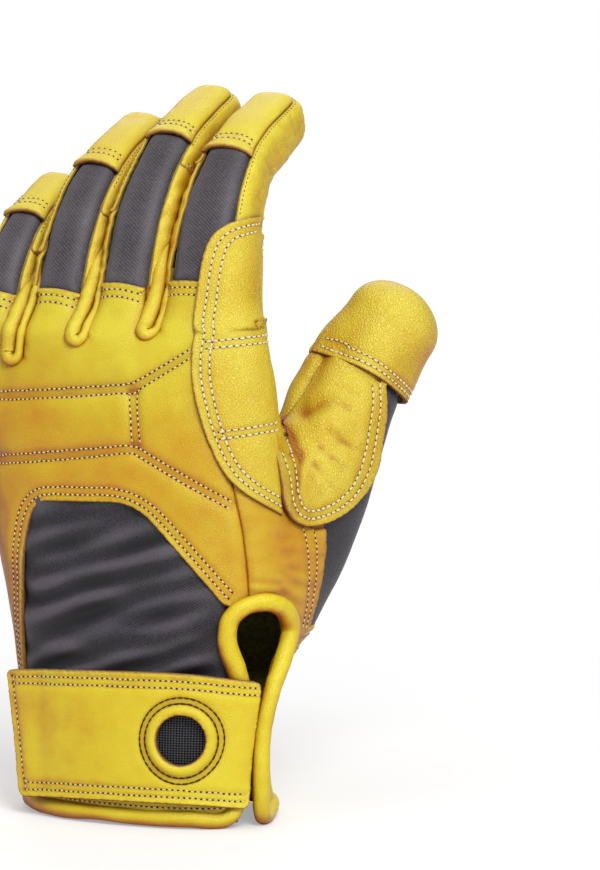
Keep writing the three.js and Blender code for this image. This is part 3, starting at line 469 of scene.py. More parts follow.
class Sheet:
    """One piece of hide or cloth, cut to an outline and laid on the hand."""

    def __init__(self, chart, corners, rise, thickness, edge="seam", holes=()):
        self.chart, self.rise, self.thickness = chart, rise, thickness
        self.rows = []
        outlines = [trace(chart, corners, edge)] + [trace(chart, hole, edge) for hole in holes]
        self.outline, _, self.places = outlines[0]
        self.corner_count = len(corners)
        extra, fence = [], []
        everything = np.vstack([o[0] for o in outlines])
        offset = 0
        for outline, _, _ in outlines:
            for inset in INSETS:
                rows = outline + inward(outline) * inset * (1 if offset == 0 else -1)
                extra.append(rows[self._from_edges(rows, outlines) > inset * 0.93])
            count = len(outline)
            fence += [(offset + k, offset + (k + 1) % count) for k in range(count)]
            offset += count
        low, high = self.outline.min(0), self.outline.max(0)
        ups = np.arange(low[1], high[1], PITCH * 0.87)
        lattice = np.concatenate([
            np.column_stack([
                np.arange(low[0] + (k % 2) * PITCH / 2, high[0], PITCH),
                np.full(len(np.arange(low[0] + (k % 2) * PITCH / 2, high[0], PITCH)), up),
            ])
            for k, up in enumerate(ups)
        ])
        lattice = lattice[inside(lattice, self.outline)]
        lattice = lattice[self._from_edges(lattice, outlines) > INSETS[-1] + PITCH * 0.5]
        extra = np.vstack(extra)
        extra = extra[inside(extra, self.outline)]
        cut = np.vstack([everything, extra, lattice])
        flat, _, faces, _, _, _ = delaunay_2d_cdt(
            [Vector(p) for p in cut], fence, [], 1, 1e-4
        )
        self.flat = np.array([tuple(p) for p in flat])
        faces = np.array([tuple(f) for f in faces])
        middles = self.flat[faces].mean(1)
        for hole, _, _ in outlines[1:]:
            faces = faces[~inside(middles, hole)]
            middles = self.flat[faces].mean(1)
        used = np.unique(faces)
        renumber = np.full(len(self.flat), -1)
        renumber[used] = np.arange(len(used))
        self.flat, faces = self.flat[used], renumber[faces]
        self.points, ways = chart.lay(self.flat)
        a, b, c = (self.points[faces[:, k]] for k in range(3))
        facing = np.cross(b - a, c - a)
        if (facing * ways[faces[:, 0]]).sum() < 0:
            faces = faces[:, ::-1]
            facing = -facing
        self.faces = faces
        normals = np.zeros_like(self.points)
        for k in range(3):
            np.add.at(normals, faces[:, k], facing)
        self.normals = unit(normals)
        self.base = np.full(len(self.flat), float(rise))
        self.drop = np.zeros(len(self.flat))
        self.edge, self.lip = np.full(len(self.flat), 1e9), np.full(len(self.flat), 1e9)
        for outline, kinds, _ in outlines:
            d, nearest = to_path(self.flat, outline, closed=True)
            for kind in set(kinds):
                round_off, sink, over = EDGES[kind]
                mine = np.array([k == kind for k in kinds])[nearest]
                near = np.clip(1 - d / round_off, 0, 1)
                drop = round_off * (1 - np.sqrt(1 - near**2)) + sink * np.exp(-((d / over) ** 2))
                self.drop = np.where(mine, np.maximum(self.drop, drop), self.drop)
                if kind == "raw":
                    self.lip = np.where(mine, np.minimum(self.lip, d), self.lip)
            self.edge = np.minimum(self.edge, d)

    def _from_edges(self, points, outlines):
        return np.min([to_path(points, o[0], closed=True)[0] for o in outlines], axis=0)

    def path(self, rows):
        """A path on the flat hide through rows in the chart's own places."""
        return self.chart.flat(rows)

    def beside(self, first, last, inset):
        """A path that follows the edge from one corner to another, this far in."""
        last = last if last > first else last + self.corner_count
        places = np.where(self.places < first - 0.06, self.places + self.corner_count, self.places)
        order = np.argsort(places)
        order = order[(places[order] >= first - 1e-6) & (places[order] <= last + 1e-6)]
        rows = self.outline[order] + inward(self.outline)[order] * inset
        rows = rows[to_path(rows, self.outline, closed=True)[0] > inset * 0.95]
        for _ in range(3):
            padded_rows = np.pad(rows, ((3, 3), (0, 0)), mode="reflect", reflect_type="odd")
            rows = np.column_stack(
                [np.convolve(padded_rows[:, k], np.ones(7) / 7, "valid") for k in (0, 1)]
            )
        return rows

    def channel(self, path, depth, width):
        d, _ = to_path(self.flat, path)
        self.base -= depth * np.exp(-((d / width) ** 2))

    def fold(self, start, end, depth, width):
        """A crease with a soft roll of hide on its upper side."""
        a, b = self.chart.flat([start, end])
        d, _ = to_path(self.flat, np.array([a, b]))
        over = (self.flat - a) @ np.array([-(b - a)[1], (b - a)[0]]) / np.linalg.norm(b - a)
        fade = np.exp(-((d / (2.6 * width)) ** 2))
        self.base += fade * depth * (
            -np.exp(-((over / width) ** 2)) + 0.7 * np.exp(-(((over - 1.7 * width) / width) ** 2))
        )

    def crease(self, path, depth, width):
        """A valley along a path, deepest at its start and gone at its end."""
        d, nearest = to_path(self.flat, path)
        left = 1 - nearest / max(len(path) - 1, 1)
        self.base -= depth * left**0.7 * np.exp(-((d / (width * (0.5 + 0.5 * left))) ** 2))

    def bulge(self, path, amount, width):
        d, _ = to_path(self.flat, path)
        self.base += amount * np.exp(-((d / width) ** 2))

    def dent(self, size, amount, seed, stretch=(1, 1, 1)):
        self.base += amount * ripple(self.points, size, seed, stretch)

    def sew(self, path, kind="cream", depth=0.45, width=1.1):
        """Marks a row of stitches and draws the hide in along it."""
        self.channel(path, depth, width)
        self.rows.append((path, kind))

    def span(self):
        """Width and length of the flat cut."""
        return np.ptp(self.flat, axis=0)

    def cut_area(self):
        """Area of the cut, in square millimetres."""
        a, b, c = (self.points[self.faces[:, k]] for k in range(3))
        return float(np.linalg.norm(np.cross(b - a, c - a), axis=1).sum() / 2)

    def around(self, values, passes):
        """Values softened over the sheet, each pass by the mean of a point's neighbours."""
        pairs = np.vstack([self.faces[:, [0, 1]], self.faces[:, [1, 2]], self.faces[:, [2, 0]]])
        pairs = np.vstack([pairs, pairs[:, ::-1]])
        count = np.bincount(pairs[:, 0], minlength=len(values))[:, None]
        for _ in range(passes):
            total = np.column_stack([
                np.bincount(pairs[:, 0], weights=values[pairs[:, 1], k], minlength=len(values))
                for k in range(3)
            ])
            values = 0.5 * values + 0.5 * total / np.maximum(count, 1)
        return values

    def relax(self, passes):
        """Takes sharp steps out of the surface that the sheet lies on."""
        soft = self.around(self.points.copy(), passes)
        self.points += self.normals * ((soft - self.points) * self.normals).sum(1)[:, None]
        self.normals = unit(self.around(self.normals, passes))

    def finish(self):
        """The outer and inner surface, and each point's painted shade: shade in creases and
        hollows, a painted highlight on ridges.
        """
        self.base += 0.16 * np.exp(-((self.lip / 1.2) ** 2)) * ripple(self.points, 1.3, 7)
        self.outer = self.points + self.normals * (self.base - self.drop)[:, None]
        self.inner = self.points + self.normals * (self.base - self.thickness)[:, None]
        # Painted shade: how far a point lies below its softened neighbours, near and wide; it is
        # negative on ridges, for a painted highlight.
        near = self.around(self.outer, 9)
        wide = self.around(near, 22)
        self.shade = np.clip(
            ((near - self.outer) * self.normals).sum(1) / 0.45
            + ((wide - near) * self.normals).sum(1) / 1.6, -1, 1
        )
        return self


def wall(sheet):
    """A laid sheet as a closed wall: places, faces, finish of each face, flat cut, shade."""
    sheet.finish()
    count = len(sheet.outer)
    keys = {tuple(e) for k in range(3) for e in sheet.faces[:, [k, (k + 1) % 3]].tolist()}
    rim = np.array([edge for edge in sorted(keys) if (edge[1], edge[0]) not in keys])
    a, b = rim.T
    side = np.vstack([
        np.column_stack([b, a, a + count]), np.column_stack([b, a + count, b + count])
    ])
    on_edge = (sheet.edge[sheet.faces] < 0.3).all(1) | (sheet.lip[sheet.faces] < 0.75).all(1)
    return (
        np.vstack([sheet.outer, sheet.inner]),
        np.vstack([sheet.faces, sheet.faces[:, ::-1] + count, side]),
        np.concatenate([np.where(on_edge, 2, 0), np.full(len(on_edge), 1), np.full(len(side), 2)]),
        np.vstack([sheet.flat, sheet.flat]),
        np.concatenate([sheet.shade, np.zeros(count)]),
    )


def piece(name, nodes, parts, looks):
    """One object of some laid sheets and rolls: outside, lining and cut edge."""
    places, faces, slots, flats, shades = [], [], [], [], []
    start = 0
    for part in parts:
        if isinstance(part, Sheet):
            solid = wall(part)
        else:
            count = len(part.places)
            solid = (part.places, part.faces, np.zeros(len(part.faces), int), part.flats,
                     np.zeros(count))
        for whole, value in zip((places, faces, slots, flats, shades), solid):
            whole.append(value + start if whole is faces else value)
        start += len(solid[0])
    places, faces, slots = np.vstack(places) * MM, np.vstack(faces), np.concatenate(slots)
    mesh = bpy.data.meshes.new(name)
    mesh.from_pydata(places.tolist(), [], faces.tolist())
    for look in looks:
        mesh.materials.append(look)
    mesh.polygons.foreach_set("material_index", slots.astype(np.int32))
    mesh.polygons.foreach_set("use_smooth", np.ones(len(faces), bool))
    cut = mesh.uv_layers.new(name="cut")
    cut.data.foreach_set("uv", (np.vstack(flats) * MM)[faces.ravel()].ravel())
    mesh.attributes.new("shade", "FLOAT", "POINT").data.foreach_set("value", np.concatenate(shades))
    made = settle(name, mesh, nodes)
    area = sum(part.cut_area() for part in parts)
    width, length = np.max([part.span() for part in parts], axis=0)
    length = max(length, area / width / 0.95)
    if area < 0.31 * width * length:
        width = area / length / 0.95
    return made


def settle(name, mesh, nodes):
    """Puts a finished mesh in the scene on the glove's one body."""
    made = bpy.data.objects.new(name, mesh)
    bpy.context.scene.collection.objects.link(made)
    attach(made, "root")
    if nodes:
        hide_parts(*nodes)
    return made


class Wiring:
    """A node tree, with one call to add a node and join it up."""

    def __init__(self, tree):
        self.tree = tree

    def add(self, kind, sockets=(), **settings):
        node = self.tree.nodes.new(kind)
        for key, value in settings.items():
            setattr(node, key, value)
        for key, value in dict(sockets).items():
            if isinstance(value, bpy.types.NodeSocket):
                self.tree.links.new(value, node.inputs[key])
            else:
                node.inputs[key].default_value = value
        return node

    def sum(self, operation, a, b=0.0, c=0.0):
        return self.add("ShaderNodeMath", {0: a, 1: b, 2: c}, operation=operation).outputs[0]

    def mix(self, share, a, b, way="MIX"):
        node = self.add("ShaderNodeMix", data_type="RGBA", blend_type=way)
        for index, value in ((0, share), (6, a), (7, b)):
            if isinstance(value, bpy.types.NodeSocket):
                self.tree.links.new(value, node.inputs[index])
            else:
                node.inputs[index].default_value = value
        return node.outputs[2]


def colour(code):
    """A colour as it is seen, such as d9a520, as the shader wants it."""
    parts = [int(code[k:k + 2], 16) / 255 for k in (0, 2, 4)]
    return tuple(((v + 0.055) / 1.055) ** 2.4 if v > 0.04 else v / 12.92 for v in parts) + (1.0,)


def material(name, **constants):
    """A new material and its wiring; constants are set on the surface shader's sockets."""
    look = bpy.data.materials.new(name)
    look.use_nodes = True
    wiring = Wiring(look.node_tree)
    surface = look.node_tree.nodes["Principled BSDF"]
    for key, value in constants.items():
        surface.inputs[key.replace("_", " ")].default_value = value
    return look, wiring, surface


def ramp(wiring, factor, stops):
    node = wiring.add("ShaderNodeValToRGB", {"Fac": factor})
    points = node.color_ramp.elements
    while len(points) < len(stops):
        points.new(0.5)
    for point, (place, code) in zip(points, stops):
        point.position = place
        point.color = colour(code)
    return node.outputs["Color"]


# Twill yarns, as millimetres across the slope of the weave.
TWILL_PITCH = 0.85
TWILL_SLOPE = math.radians(58)


def twill(name, dark, light):
    look, wiring, surface = material(
        name, Roughness=0.62, Sheen_Weight=0.25, Sheen_Roughness=0.35, Specular_IOR_Level=0.4
    )
    surface.inputs["Sheen Tint"].default_value = colour("a8a0b0")
    uv = wiring.add("ShaderNodeUVMap", uv_map="cut").outputs[0]
    flat = wiring.add("ShaderNodeSeparateXYZ", {0: uv})
    across = wiring.sum("MULTIPLY", flat.outputs[0], math.cos(TWILL_SLOPE) / (TWILL_PITCH * MM))
    up = wiring.sum("MULTIPLY", flat.outputs[1], math.sin(TWILL_SLOPE) / (TWILL_PITCH * MM))
    band = wiring.sum("SINE", wiring.sum("MULTIPLY", wiring.sum("ADD", across, up), 2 * math.pi))
    yarn = wiring.sum("SINE", wiring.sum("MULTIPLY", flat.outputs[0], 2 * math.pi / (0.62 * MM)))
    place = wiring.add("ShaderNodeTexCoord").outputs["Object"]
    heather = wiring.add("ShaderNodeTexNoise", {"Vector": place, "Scale": 1500.0, "Detail": 2.0})
    drift = wiring.add("ShaderNodeTexNoise", {"Vector": place, "Scale": 45.0, "Detail": 3.0})
    weave = wiring.sum("MULTIPLY_ADD", band, 0.22, wiring.sum("MULTIPLY_ADD", yarn, 0.06, 0.0))
    fleck = wiring.sum("MULTIPLY_ADD", heather.outputs["Fac"], 1.3, -0.4)
    light_share = wiring.sum("ADD", weave, fleck)
    light_share = wiring.sum("MULTIPLY_ADD", drift.outputs["Fac"], 0.3, light_share)
    colour_out = ramp(wiring, light_share, [(0.1, dark), (0.95, light)])
    # Painted shade, near black, in the cloth's folds and hollows, and a painted highlight on its
    # ridges, both from the shade attribute.
    shade = wiring.add("ShaderNodeAttribute", attribute_name="shade").outputs["Fac"]
    deep = wiring.sum("MULTIPLY", wiring.sum("MAXIMUM", shade, 0.0), 0.95)
    colour_out = wiring.mix(deep, colour_out, colour("0f0e11"))
    proud = wiring.sum("MAXIMUM", wiring.sum("MULTIPLY", shade, -1.0), 0.0)
    raised = wiring.sum("MULTIPLY", proud, 0.32)
    wiring.tree.links.new(
        wiring.mix(raised, colour_out, colour("78727a")), surface.inputs["Base Color"]
    )
    bump = wiring.add("ShaderNodeBump", {
        "Height": wiring.sum("ADD", weave, wiring.sum("MULTIPLY", heather.outputs["Fac"], 0.4)),
        "Strength": 0.5, "Distance": 0.16 * MM,
    })
    wiring.tree.links.new(bump.outputs[0], surface.inputs["Normal"])
    return look


CLOTH = twill("stretch_twill", "151317", "403c43")
# A lighter copy of the same twill, for the finger backs: painted light.
LIT_FINGER_CLOTH = twill("finger_twill_painted_light", "221f23", "585256")


def lining(name, code):
    look, wiring, surface = material(name, Roughness=0.95, Specular_IOR_Level=0.15)
    place = wiring.add("ShaderNodeTexCoord").outputs["Object"]
    nap = wiring.add("ShaderNodeTexNoise", {"Vector": place, "Scale": 700.0, "Detail": 4.0})
    tone = wiring.mix(nap.outputs["Fac"], colour(code), colour("5c5424"))
    wiring.tree.links.new(tone, surface.inputs["Base Color"])
    bump = wiring.add("ShaderNodeBump", {"Height": nap.outputs["Fac"], "Distance": 0.3 * MM})
    wiring.tree.links.new(bump.outputs[0], surface.inputs["Normal"])
    return look


LINING = lining("suede_lining", "c8bc68")

palm_chart = Round(hand, 80)
CLOTH_WALL = 1.2
wrist = Sheet(
    palm_chart,
    [
        (-63, 1, 0), (-63, 51, 6), (-47, 92, 6), (-34, 113, 4), (12, 115, 4), (49, 80, 4),
        (49, 70, 6, "bound"), (47, 62, 8, "bound"), (51, 54, 8, "bound"), (60, 43, 8, "bound"),
        (61, 28, 8, "bound"), (59, 1, 0, "bound"),
    ],
    rise=-0.9, thickness=CLOTH_WALL, edge="under",
)
WRIST_FOLDS = [
    # start and end (angle, up), depth, width
    ((-50, 84), (6, 79), 0.8, 4.5),
    ((-42, 73), (26, 70), 1.2, 5),
    ((-52, 60), (-14, 66), 0.9, 4),
    ((-10, 60), (30, 66), 0.9, 3.6),
    ((-48, 54), (14, 53), 0.8, 3.6),
    ((22, 58), (44, 66), 0.7, 3),
]
for start, end, depth, width in WRIST_FOLDS:
    wrist.fold(start, end, depth, width)
wrist.dent(24, 0.4, 3)
WAVES = dict(height=1.4, size=9, slope=0.3, long=2.4, from_edge=8)  # soft waves, slanting
slanted = wrist.points - wrist.points[:, :1] * [0, 0, WAVES["slope"]]
waves = ripple(slanted, WAVES["size"], 5, (WAVES["long"], WAVES["long"], 1))
wrist.base += (1 - np.exp(-((wrist.edge / WAVES["from_edge"]) ** 2))) * WAVES["height"] * waves
piece("wrist_cloth", ["wrist_panel"], [wrist], [CLOTH, LINING, CLOTH])


# Back panel
# The main hide of the back of the hand, down the little finger's side to the hem. It is
# quilted in two double lines over the knuckles, and sewn twice round the wrist cloth and
# along the knuckle edges.

HIDE_RISE = 0.9
HIDE_WALL = 1.6
SEAM_SHARE = 0.5 ** (1 / 3)  # finger seams run along the corners of the rounded box
LITTLE_SEAM = -78
ROW_INSET = 2.5  # first row of stitches from an edge
ROW_GAP = 2.4  # between the two rows of a double seam


AMBER = "c48606"  # between a hide's middle tone and its deepest


def hide(name, light, mid, deep, grain=0.8, relief=0.16, rough=0.42, shade_all_over=0.0, glow=0.0):
    """Full-grain hide: gold, with painted shade in its folds, beside seams and between parts, and
    a painted highlight where it stands proud.

    It has painted light by facing: more orange where it faces down or to the little finger's
    side, paler where it faces up, to the thumb's side, the back or the palm. It can also be
    given painted shade all over, and glow, painted light that is paler towards the fingers and
    more orange towards the wrist. Grain is a pebble's width, relief its height.
    """
    look, wiring, surface = material(name, Roughness=rough, Specular_IOR_Level=0.42)
    place = wiring.add("ShaderNodeTexCoord").outputs["Object"]
    drift = wiring.add("ShaderNodeTexNoise", {"Vector": place, "Scale": 34.0, "Detail": 5.0})
    blotch = wiring.add("ShaderNodeTexNoise", {"Vector": place, "Scale": 150.0, "Detail": 5.0})
    mottle = wiring.sum("MULTIPLY", blotch.outputs["Fac"], 0.25)
    mottle = wiring.sum("MULTIPLY_ADD", drift.outputs["Fac"], 0.5, mottle)
    # The mottle above is the hide's own uneven tone. The rest is painted light by facing: paler
    # where the surface faces up, to the thumb's side, the back or the palm, more orange where it
    # faces down or to the little finger's side, with painted shade all over from the offset.
    normal = wiring.add("ShaderNodeNewGeometry").outputs["Normal"]
    facing = wiring.add("ShaderNodeSeparateXYZ", {0: normal}).outputs
    lit = wiring.sum("MULTIPLY_ADD", facing["X"], 0.27, wiring.sum("ADD", mottle, -0.245 - shade_all_over))
    lit = wiring.sum("MULTIPLY_ADD", facing["Z"], 0.36, lit)
    tone = wiring.sum("MULTIPLY_ADD", wiring.sum("ABSOLUTE", facing["Y"]), 0.36, lit)
    # Painted light by height: paler towards the fingers, more orange towards the wrist.
    if glow:
        up = wiring.add("ShaderNodeSeparateXYZ", {0: place}).outputs["Z"]
        up = wiring.sum("MULTIPLY_ADD", up, 60.0, -8.5)
        up = wiring.sum("MAXIMUM", wiring.sum("MINIMUM", up, 1.0), -1.0)
        tone = wiring.sum("MULTIPLY_ADD", up, glow, tone)
    base = ramp(wiring, tone, [(0.08, deep), (0.24, AMBER), (0.45, mid), (0.72, light)])
    pores = wiring.add("ShaderNodeTexVoronoi", {
        "Vector": place, "Scale": 1 / (grain * MM), "Randomness": 1.0
    }, feature="DISTANCE_TO_EDGE")
    crumb = wiring.add("ShaderNodeTexNoise", {"Vector": place, "Scale": 1100.0, "Detail": 4.0})
    cell = wiring.sum("MINIMUM", wiring.sum("MULTIPLY", pores.outputs["Distance"], 2.8), 1.0)
    pit = wiring.sum("MULTIPLY", wiring.sum("SUBTRACT", 1.0, cell), relief * 0.5)
    base = wiring.mix(pit, base, colour(deep))
    # Painted shade from the shade attribute darkens folds and hollows towards the deep colour, and
    # a painted highlight of the light colour lies on ridges.
    shade = wiring.add("ShaderNodeAttribute", attribute_name="shade").outputs["Fac"]
    creased = wiring.sum("MULTIPLY", wiring.sum("MAXIMUM", shade, 0.0), 0.85)
    base = wiring.mix(creased, base, colour(deep))
    proud = wiring.sum("MAXIMUM", wiring.sum("MULTIPLY", shade, -1.0), 0.0)
    ridge_highlight = wiring.sum("MULTIPLY", proud, 0.35)
    base = wiring.mix(ridge_highlight, base, colour(light))
    # Painted shade where the ambient occlusion node finds other surfaces close by: beside seams,
    # rolls and between parts.
    closed = wiring.add("ShaderNodeAmbientOcclusion", {"Distance": 0.005}, samples=6)
    occluded_shade = wiring.sum("MULTIPLY", wiring.sum("SUBTRACT", 1.0, closed.outputs["AO"]), 0.9)
    base = wiring.mix(wiring.sum("MINIMUM", occluded_shade, 0.9), base, colour(deep))
    wiring.tree.links.new(base, surface.inputs["Base Color"])
    sheen = wiring.sum("MULTIPLY_ADD", blotch.outputs["Fac"], 0.3, rough - 0.15)
    wiring.tree.links.new(sheen, surface.inputs["Roughness"])
    height = wiring.sum(
        "MULTIPLY_ADD", cell, 0.7, wiring.sum("MULTIPLY", crumb.outputs["Fac"], 0.7)
    )
    bump = wiring.add(
        "ShaderNodeBump", {"Height": height, "Strength": 0.9, "Distance": relief * MM}
    )
    wiring.tree.links.new(bump.outputs[0], surface.inputs["Normal"])
    return look


HIDE = hide("golden_hide", "e0d02c", "d6ba12", "9c5404", grain=0.8, relief=0.16)
# The back and side panels take a darker, more orange copy of the golden hide: painted shade.
SHADED_BACK_HIDE = hide(
    "back_golden_hide_painted_shade", "d4c42c", "c6a20e", "944c04", grain=0.8, relief=0.16, shade_all_over=0.06, glow=0.12
)
RAW_EDGE = hide("raw_hide_edge", "dcbc5e", "c0903a", "7a3e0a", grain=0.4, relief=0.3, rough=0.8)
HIDE_LOOKS = [HIDE, LINING, RAW_EDGE]
SHADED_BACK_LOOKS = [SHADED_BACK_HIDE, LINING, RAW_EDGE]


def stitch_tree():
    """Places a stitch on every point, lying along the row and flat on the hide."""
    tree = bpy.data.node_groups.new("stitch_row", "GeometryNodeTree")
    sockets = [("Row", "Geometry", None), ("Length", "Float", 1.7), ("Width", "Float", 0.55),
               ("Height", "Float", 0.5), ("Unevenness", "Float", 0.12), ("Seed", "Int", 4),
               ("Thread", "Material", None)]
    for name, kind, usual in sockets:
        socket = tree.interface.new_socket(name, in_out="INPUT", socket_type="NodeSocket" + kind)
        if usual is not None:
            socket.default_value = usual
    tree.interface.new_socket("Stitches", in_out="OUTPUT", socket_type="NodeSocketGeometry")
    wiring = Wiring(tree)
    given = wiring.add("NodeGroupInput").outputs
    bead = wiring.add("GeometryNodeMeshUVSphere", {"Segments": 8, "Rings": 6, "Radius": 0.5})
    size = wiring.add(
        "ShaderNodeCombineXYZ", {0: given["Length"], 1: given["Width"], 2: given["Height"]}
    )
    stitch = wiring.add(
        "GeometryNodeTransform", {"Geometry": bead.outputs[0], "Scale": size.outputs[0]}
    )
    ways = [
        wiring.add("GeometryNodeInputNamedAttribute", {"Name": name}, data_type="FLOAT_VECTOR")
        for name in ("way", "out")
    ]
    turn = wiring.add(
        "FunctionNodeAxesToRotation",
        {0: ways[0].outputs[0], 1: ways[1].outputs[0]}, primary_axis="X", secondary_axis="Z",
    )
    low = wiring.sum("SUBTRACT", 1.0, given["Unevenness"])
    high = wiring.sum("ADD", 1.0, given["Unevenness"])
    uneven = wiring.add(
        "FunctionNodeRandomValue", {2: low, 3: high, "Seed": given["Seed"]}, data_type="FLOAT"
    )
    sewn = wiring.add("GeometryNodeInstanceOnPoints", {
        "Points": given["Row"], "Instance": stitch.outputs[0],
        "Rotation": turn.outputs[0], "Scale": uneven.outputs[1],
    })
    real = wiring.add("GeometryNodeRealizeInstances", {"Geometry": sewn.outputs[0]})
    smooth = wiring.add("GeometryNodeSetShadeSmooth", {"Geometry": real.outputs[0]})
    done = wiring.add(
        "GeometryNodeSetMaterial", {"Geometry": smooth.outputs[0], "Material": given["Thread"]}
    )
    wiring.add("NodeGroupOutput", {0: done.outputs[0]})
    return tree


def thread(name, code):
    look, wiring, surface = material(name, Roughness=0.7, Specular_IOR_Level=0.3)
    place = wiring.add("ShaderNodeTexCoord").outputs["Object"]
    twist = wiring.add("ShaderNodeTexNoise", {"Vector": place, "Scale": 2500.0, "Detail": 2.0})
    tone = wiring.mix(
        wiring.sum("MULTIPLY", twist.outputs["Fac"], 0.45), colour(code), colour("2a1a08")
    )
    wiring.tree.links.new(tone, surface.inputs["Base Color"])
    return look


STITCH_TREE = stitch_tree()
THREADS = {
    "cream": thread("cream_thread", "f3e6b4"),
    # Dark beads between the stitches stand for the needle holes: painted shade in the holes.
    "needle": thread("needle_hole_painted_shade", "3a2208"),
    "black": thread("black_thread", "17130f"),
    "tan": thread("tan_thread", "6e4410"),
}
# Kinds of row: pitch, then each part's thread, length, width, height, and lift off the hide.
ROWS = {
    "cream": (2.2, [("cream", 1.8, 0.8, 0.6, 0.2), ("needle", 0.62, 0.6, 0.3, 0.02)]),
    "quilted": (1.9, [("cream", 1.1, 0.5, 0.4, 0.05), ("needle", 0.8, 0.66, 0.36, 0.04)]),
    "seam": (1.8, [("tan", 1.0, 0.3, 0.25, 0.02)]),
    "black": (2.2, [("black", 2.4, 0.5, 0.42, 0.22)]),
}


def sewing(name, sheets):
    """The stitches of the rows marked on some sheets, as one object."""
    parts = {}
    for sheet in sheets:
        tree = BVHTree.FromPolygons(sheet.outer.tolist(), sheet.faces.tolist())
        for path, kind in sheet.rows:
            reach = np.r_[0, np.linalg.norm(np.diff(path, axis=0), axis=1).cumsum()]
            at = np.linspace(0, reach[-1], max(int(reach[-1] / 0.5), 4))
            flat = np.column_stack([np.interp(at, reach, path[:, k]) for k in (0, 1)])
            points, ways = sheet.chart.lay(flat)
            points = points + ways * sheet.rise
            found = [tree.find_nearest(Vector(p)) for p in points]
            points = np.array([tuple(f[0]) for f in found])
            outs = np.array([tuple(f[1]) for f in found])
            length = np.r_[0, np.linalg.norm(np.diff(points, axis=0), axis=1).cumsum()]
            pitch, threads = ROWS[kind]
            count = max(int(length[-1] / pitch), 1)
            for shift, (thread_name, *size) in zip((0.5, 0), threads):
                at = (np.arange(count) + shift) * length[-1] / count
                read = lambda values, where: np.column_stack(
                    [np.interp(where, length, values[:, k]) for k in range(3)]
                )
                lift = size[-1]
                out = unit(read(outs, at))
                way = unit(read(points, at + 0.6) - read(points, at - 0.6))
                part = parts.setdefault((thread_name, tuple(size)), [])
                part.append(np.column_stack([read(points, at) + out * lift, way, out]))
    meshes = []
    for (thread_name, size), rows in parts.items():
        rows = np.vstack(rows)
        mesh = bpy.data.meshes.new(name)
        mesh.from_pydata((rows[:, :3] * MM).tolist(), [], [])
        for label, values in (("way", rows[:, 3:6]), ("out", rows[:, 6:9])):
            mesh.attributes.new(label, "FLOAT_VECTOR", "POINT").data.foreach_set(
                "vector", values.ravel()
            )
        row = bpy.data.objects.new(name, mesh)
        bpy.context.scene.collection.objects.link(row)
        modifier = row.modifiers.new("stitches", "NODES")
        modifier.node_group = STITCH_TREE
        inputs = {s.name: s.identifier for s in STITCH_TREE.interface.items_tree}
        for label, value in zip(("Length", "Width", "Height"), size):
            modifier[inputs[label]] = value * MM
        modifier[inputs["Thread"]] = THREADS[thread_name]
        graph = bpy.context.evaluated_depsgraph_get()
        baked = bpy.data.meshes.new_from_object(row.evaluated_get(graph))
        bpy.data.objects.remove(row)
        meshes.append(baked)
    holder = bpy.data.objects.new(name + "_part", meshes[0])
    joined = [holder] + [bpy.data.objects.new(name + "_part", m) for m in meshes[1:]]
    for part in joined:
        bpy.context.scene.collection.objects.link(part)
    if len(joined) > 1:
        with bpy.context.temp_override(
            active_object=holder, selected_objects=joined, selected_editable_objects=joined
        ):
            bpy.ops.object.join()
    mesh = holder.data
    bpy.data.objects.remove(holder)
    return settle(name, mesh, [])


reach_chart = Round(hand_tube(reach=REACH_LENGTH), 80)


def angle_across(x, up):
    """The angle round the hand at a place across its back, that far up."""
    centre, _, _, _, width, _ = reach_chart.tube.at(np.array([float(up)]))
    share = np.clip((x - centre[0, 0]) / width[0, 0], -0.99, 0.99)
    return math.degrees(math.asin(abs(share) ** (HAND_BOXINESS / 2))) * math.copysign(1, share)


def finger_place(tube, share, s):
    """Angle round the hand and height of a place on a finger's back."""
    centre, side, _, _, width, _ = tube.at(np.array([float(s)]))
    x, _, z = (centre + side * share * width)[0]
    return angle_across(x, z), z


LOOP_ENDS = [164, 161, 153]  # heights where the loops between the fingers end
TAB_FEET = [LOOP_ENDS[0], *LOOP_ENDS, LOOP_ENDS[2]]


def knuckle_tabs():
    """The back panel's upper edge, from the little finger's tab to the index's."""
    corners = []
    for k in (3, 2, 1, 0):
        row, tube = FINGERS[k], fingers[k]
        for share, rounding in ((-SEAM_SHARE, 1.5), (0, 12), (SEAM_SHARE, 1.5)):
            arch = 1.5 * (1 - (share / SEAM_SHARE) ** 2)
            angle, up = finger_place(tube, share, row["knuckle"] + arch - 1)
            low = TAB_FEET[k + 1 if share < 0 else k] + 3
            foot = finger_place(tube, share, low - FINGER_START + 1)[0]
            if share < 0:
                corners.append((foot, low, 2, "seam"))
            corners.append((angle, up, rounding, "seam" if share > 0 else "raw"))
            if share > 0:
                corners.append((foot, low, 2, "under"))
    return corners


def knuckle_row(k, inset):
    """A row of stitches across a tab, this far below its raw edge."""
    row, tube, places = FINGERS[k], fingers[k], []
    for share in np.linspace(-0.98, 0.98, 9) * SEAM_SHARE:
        arch = 1.5 * (1 - (share / SEAM_SHARE) ** 2)
        places.append(finger_place(tube, share, row["knuckle"] + arch - 1 - inset))
    return places


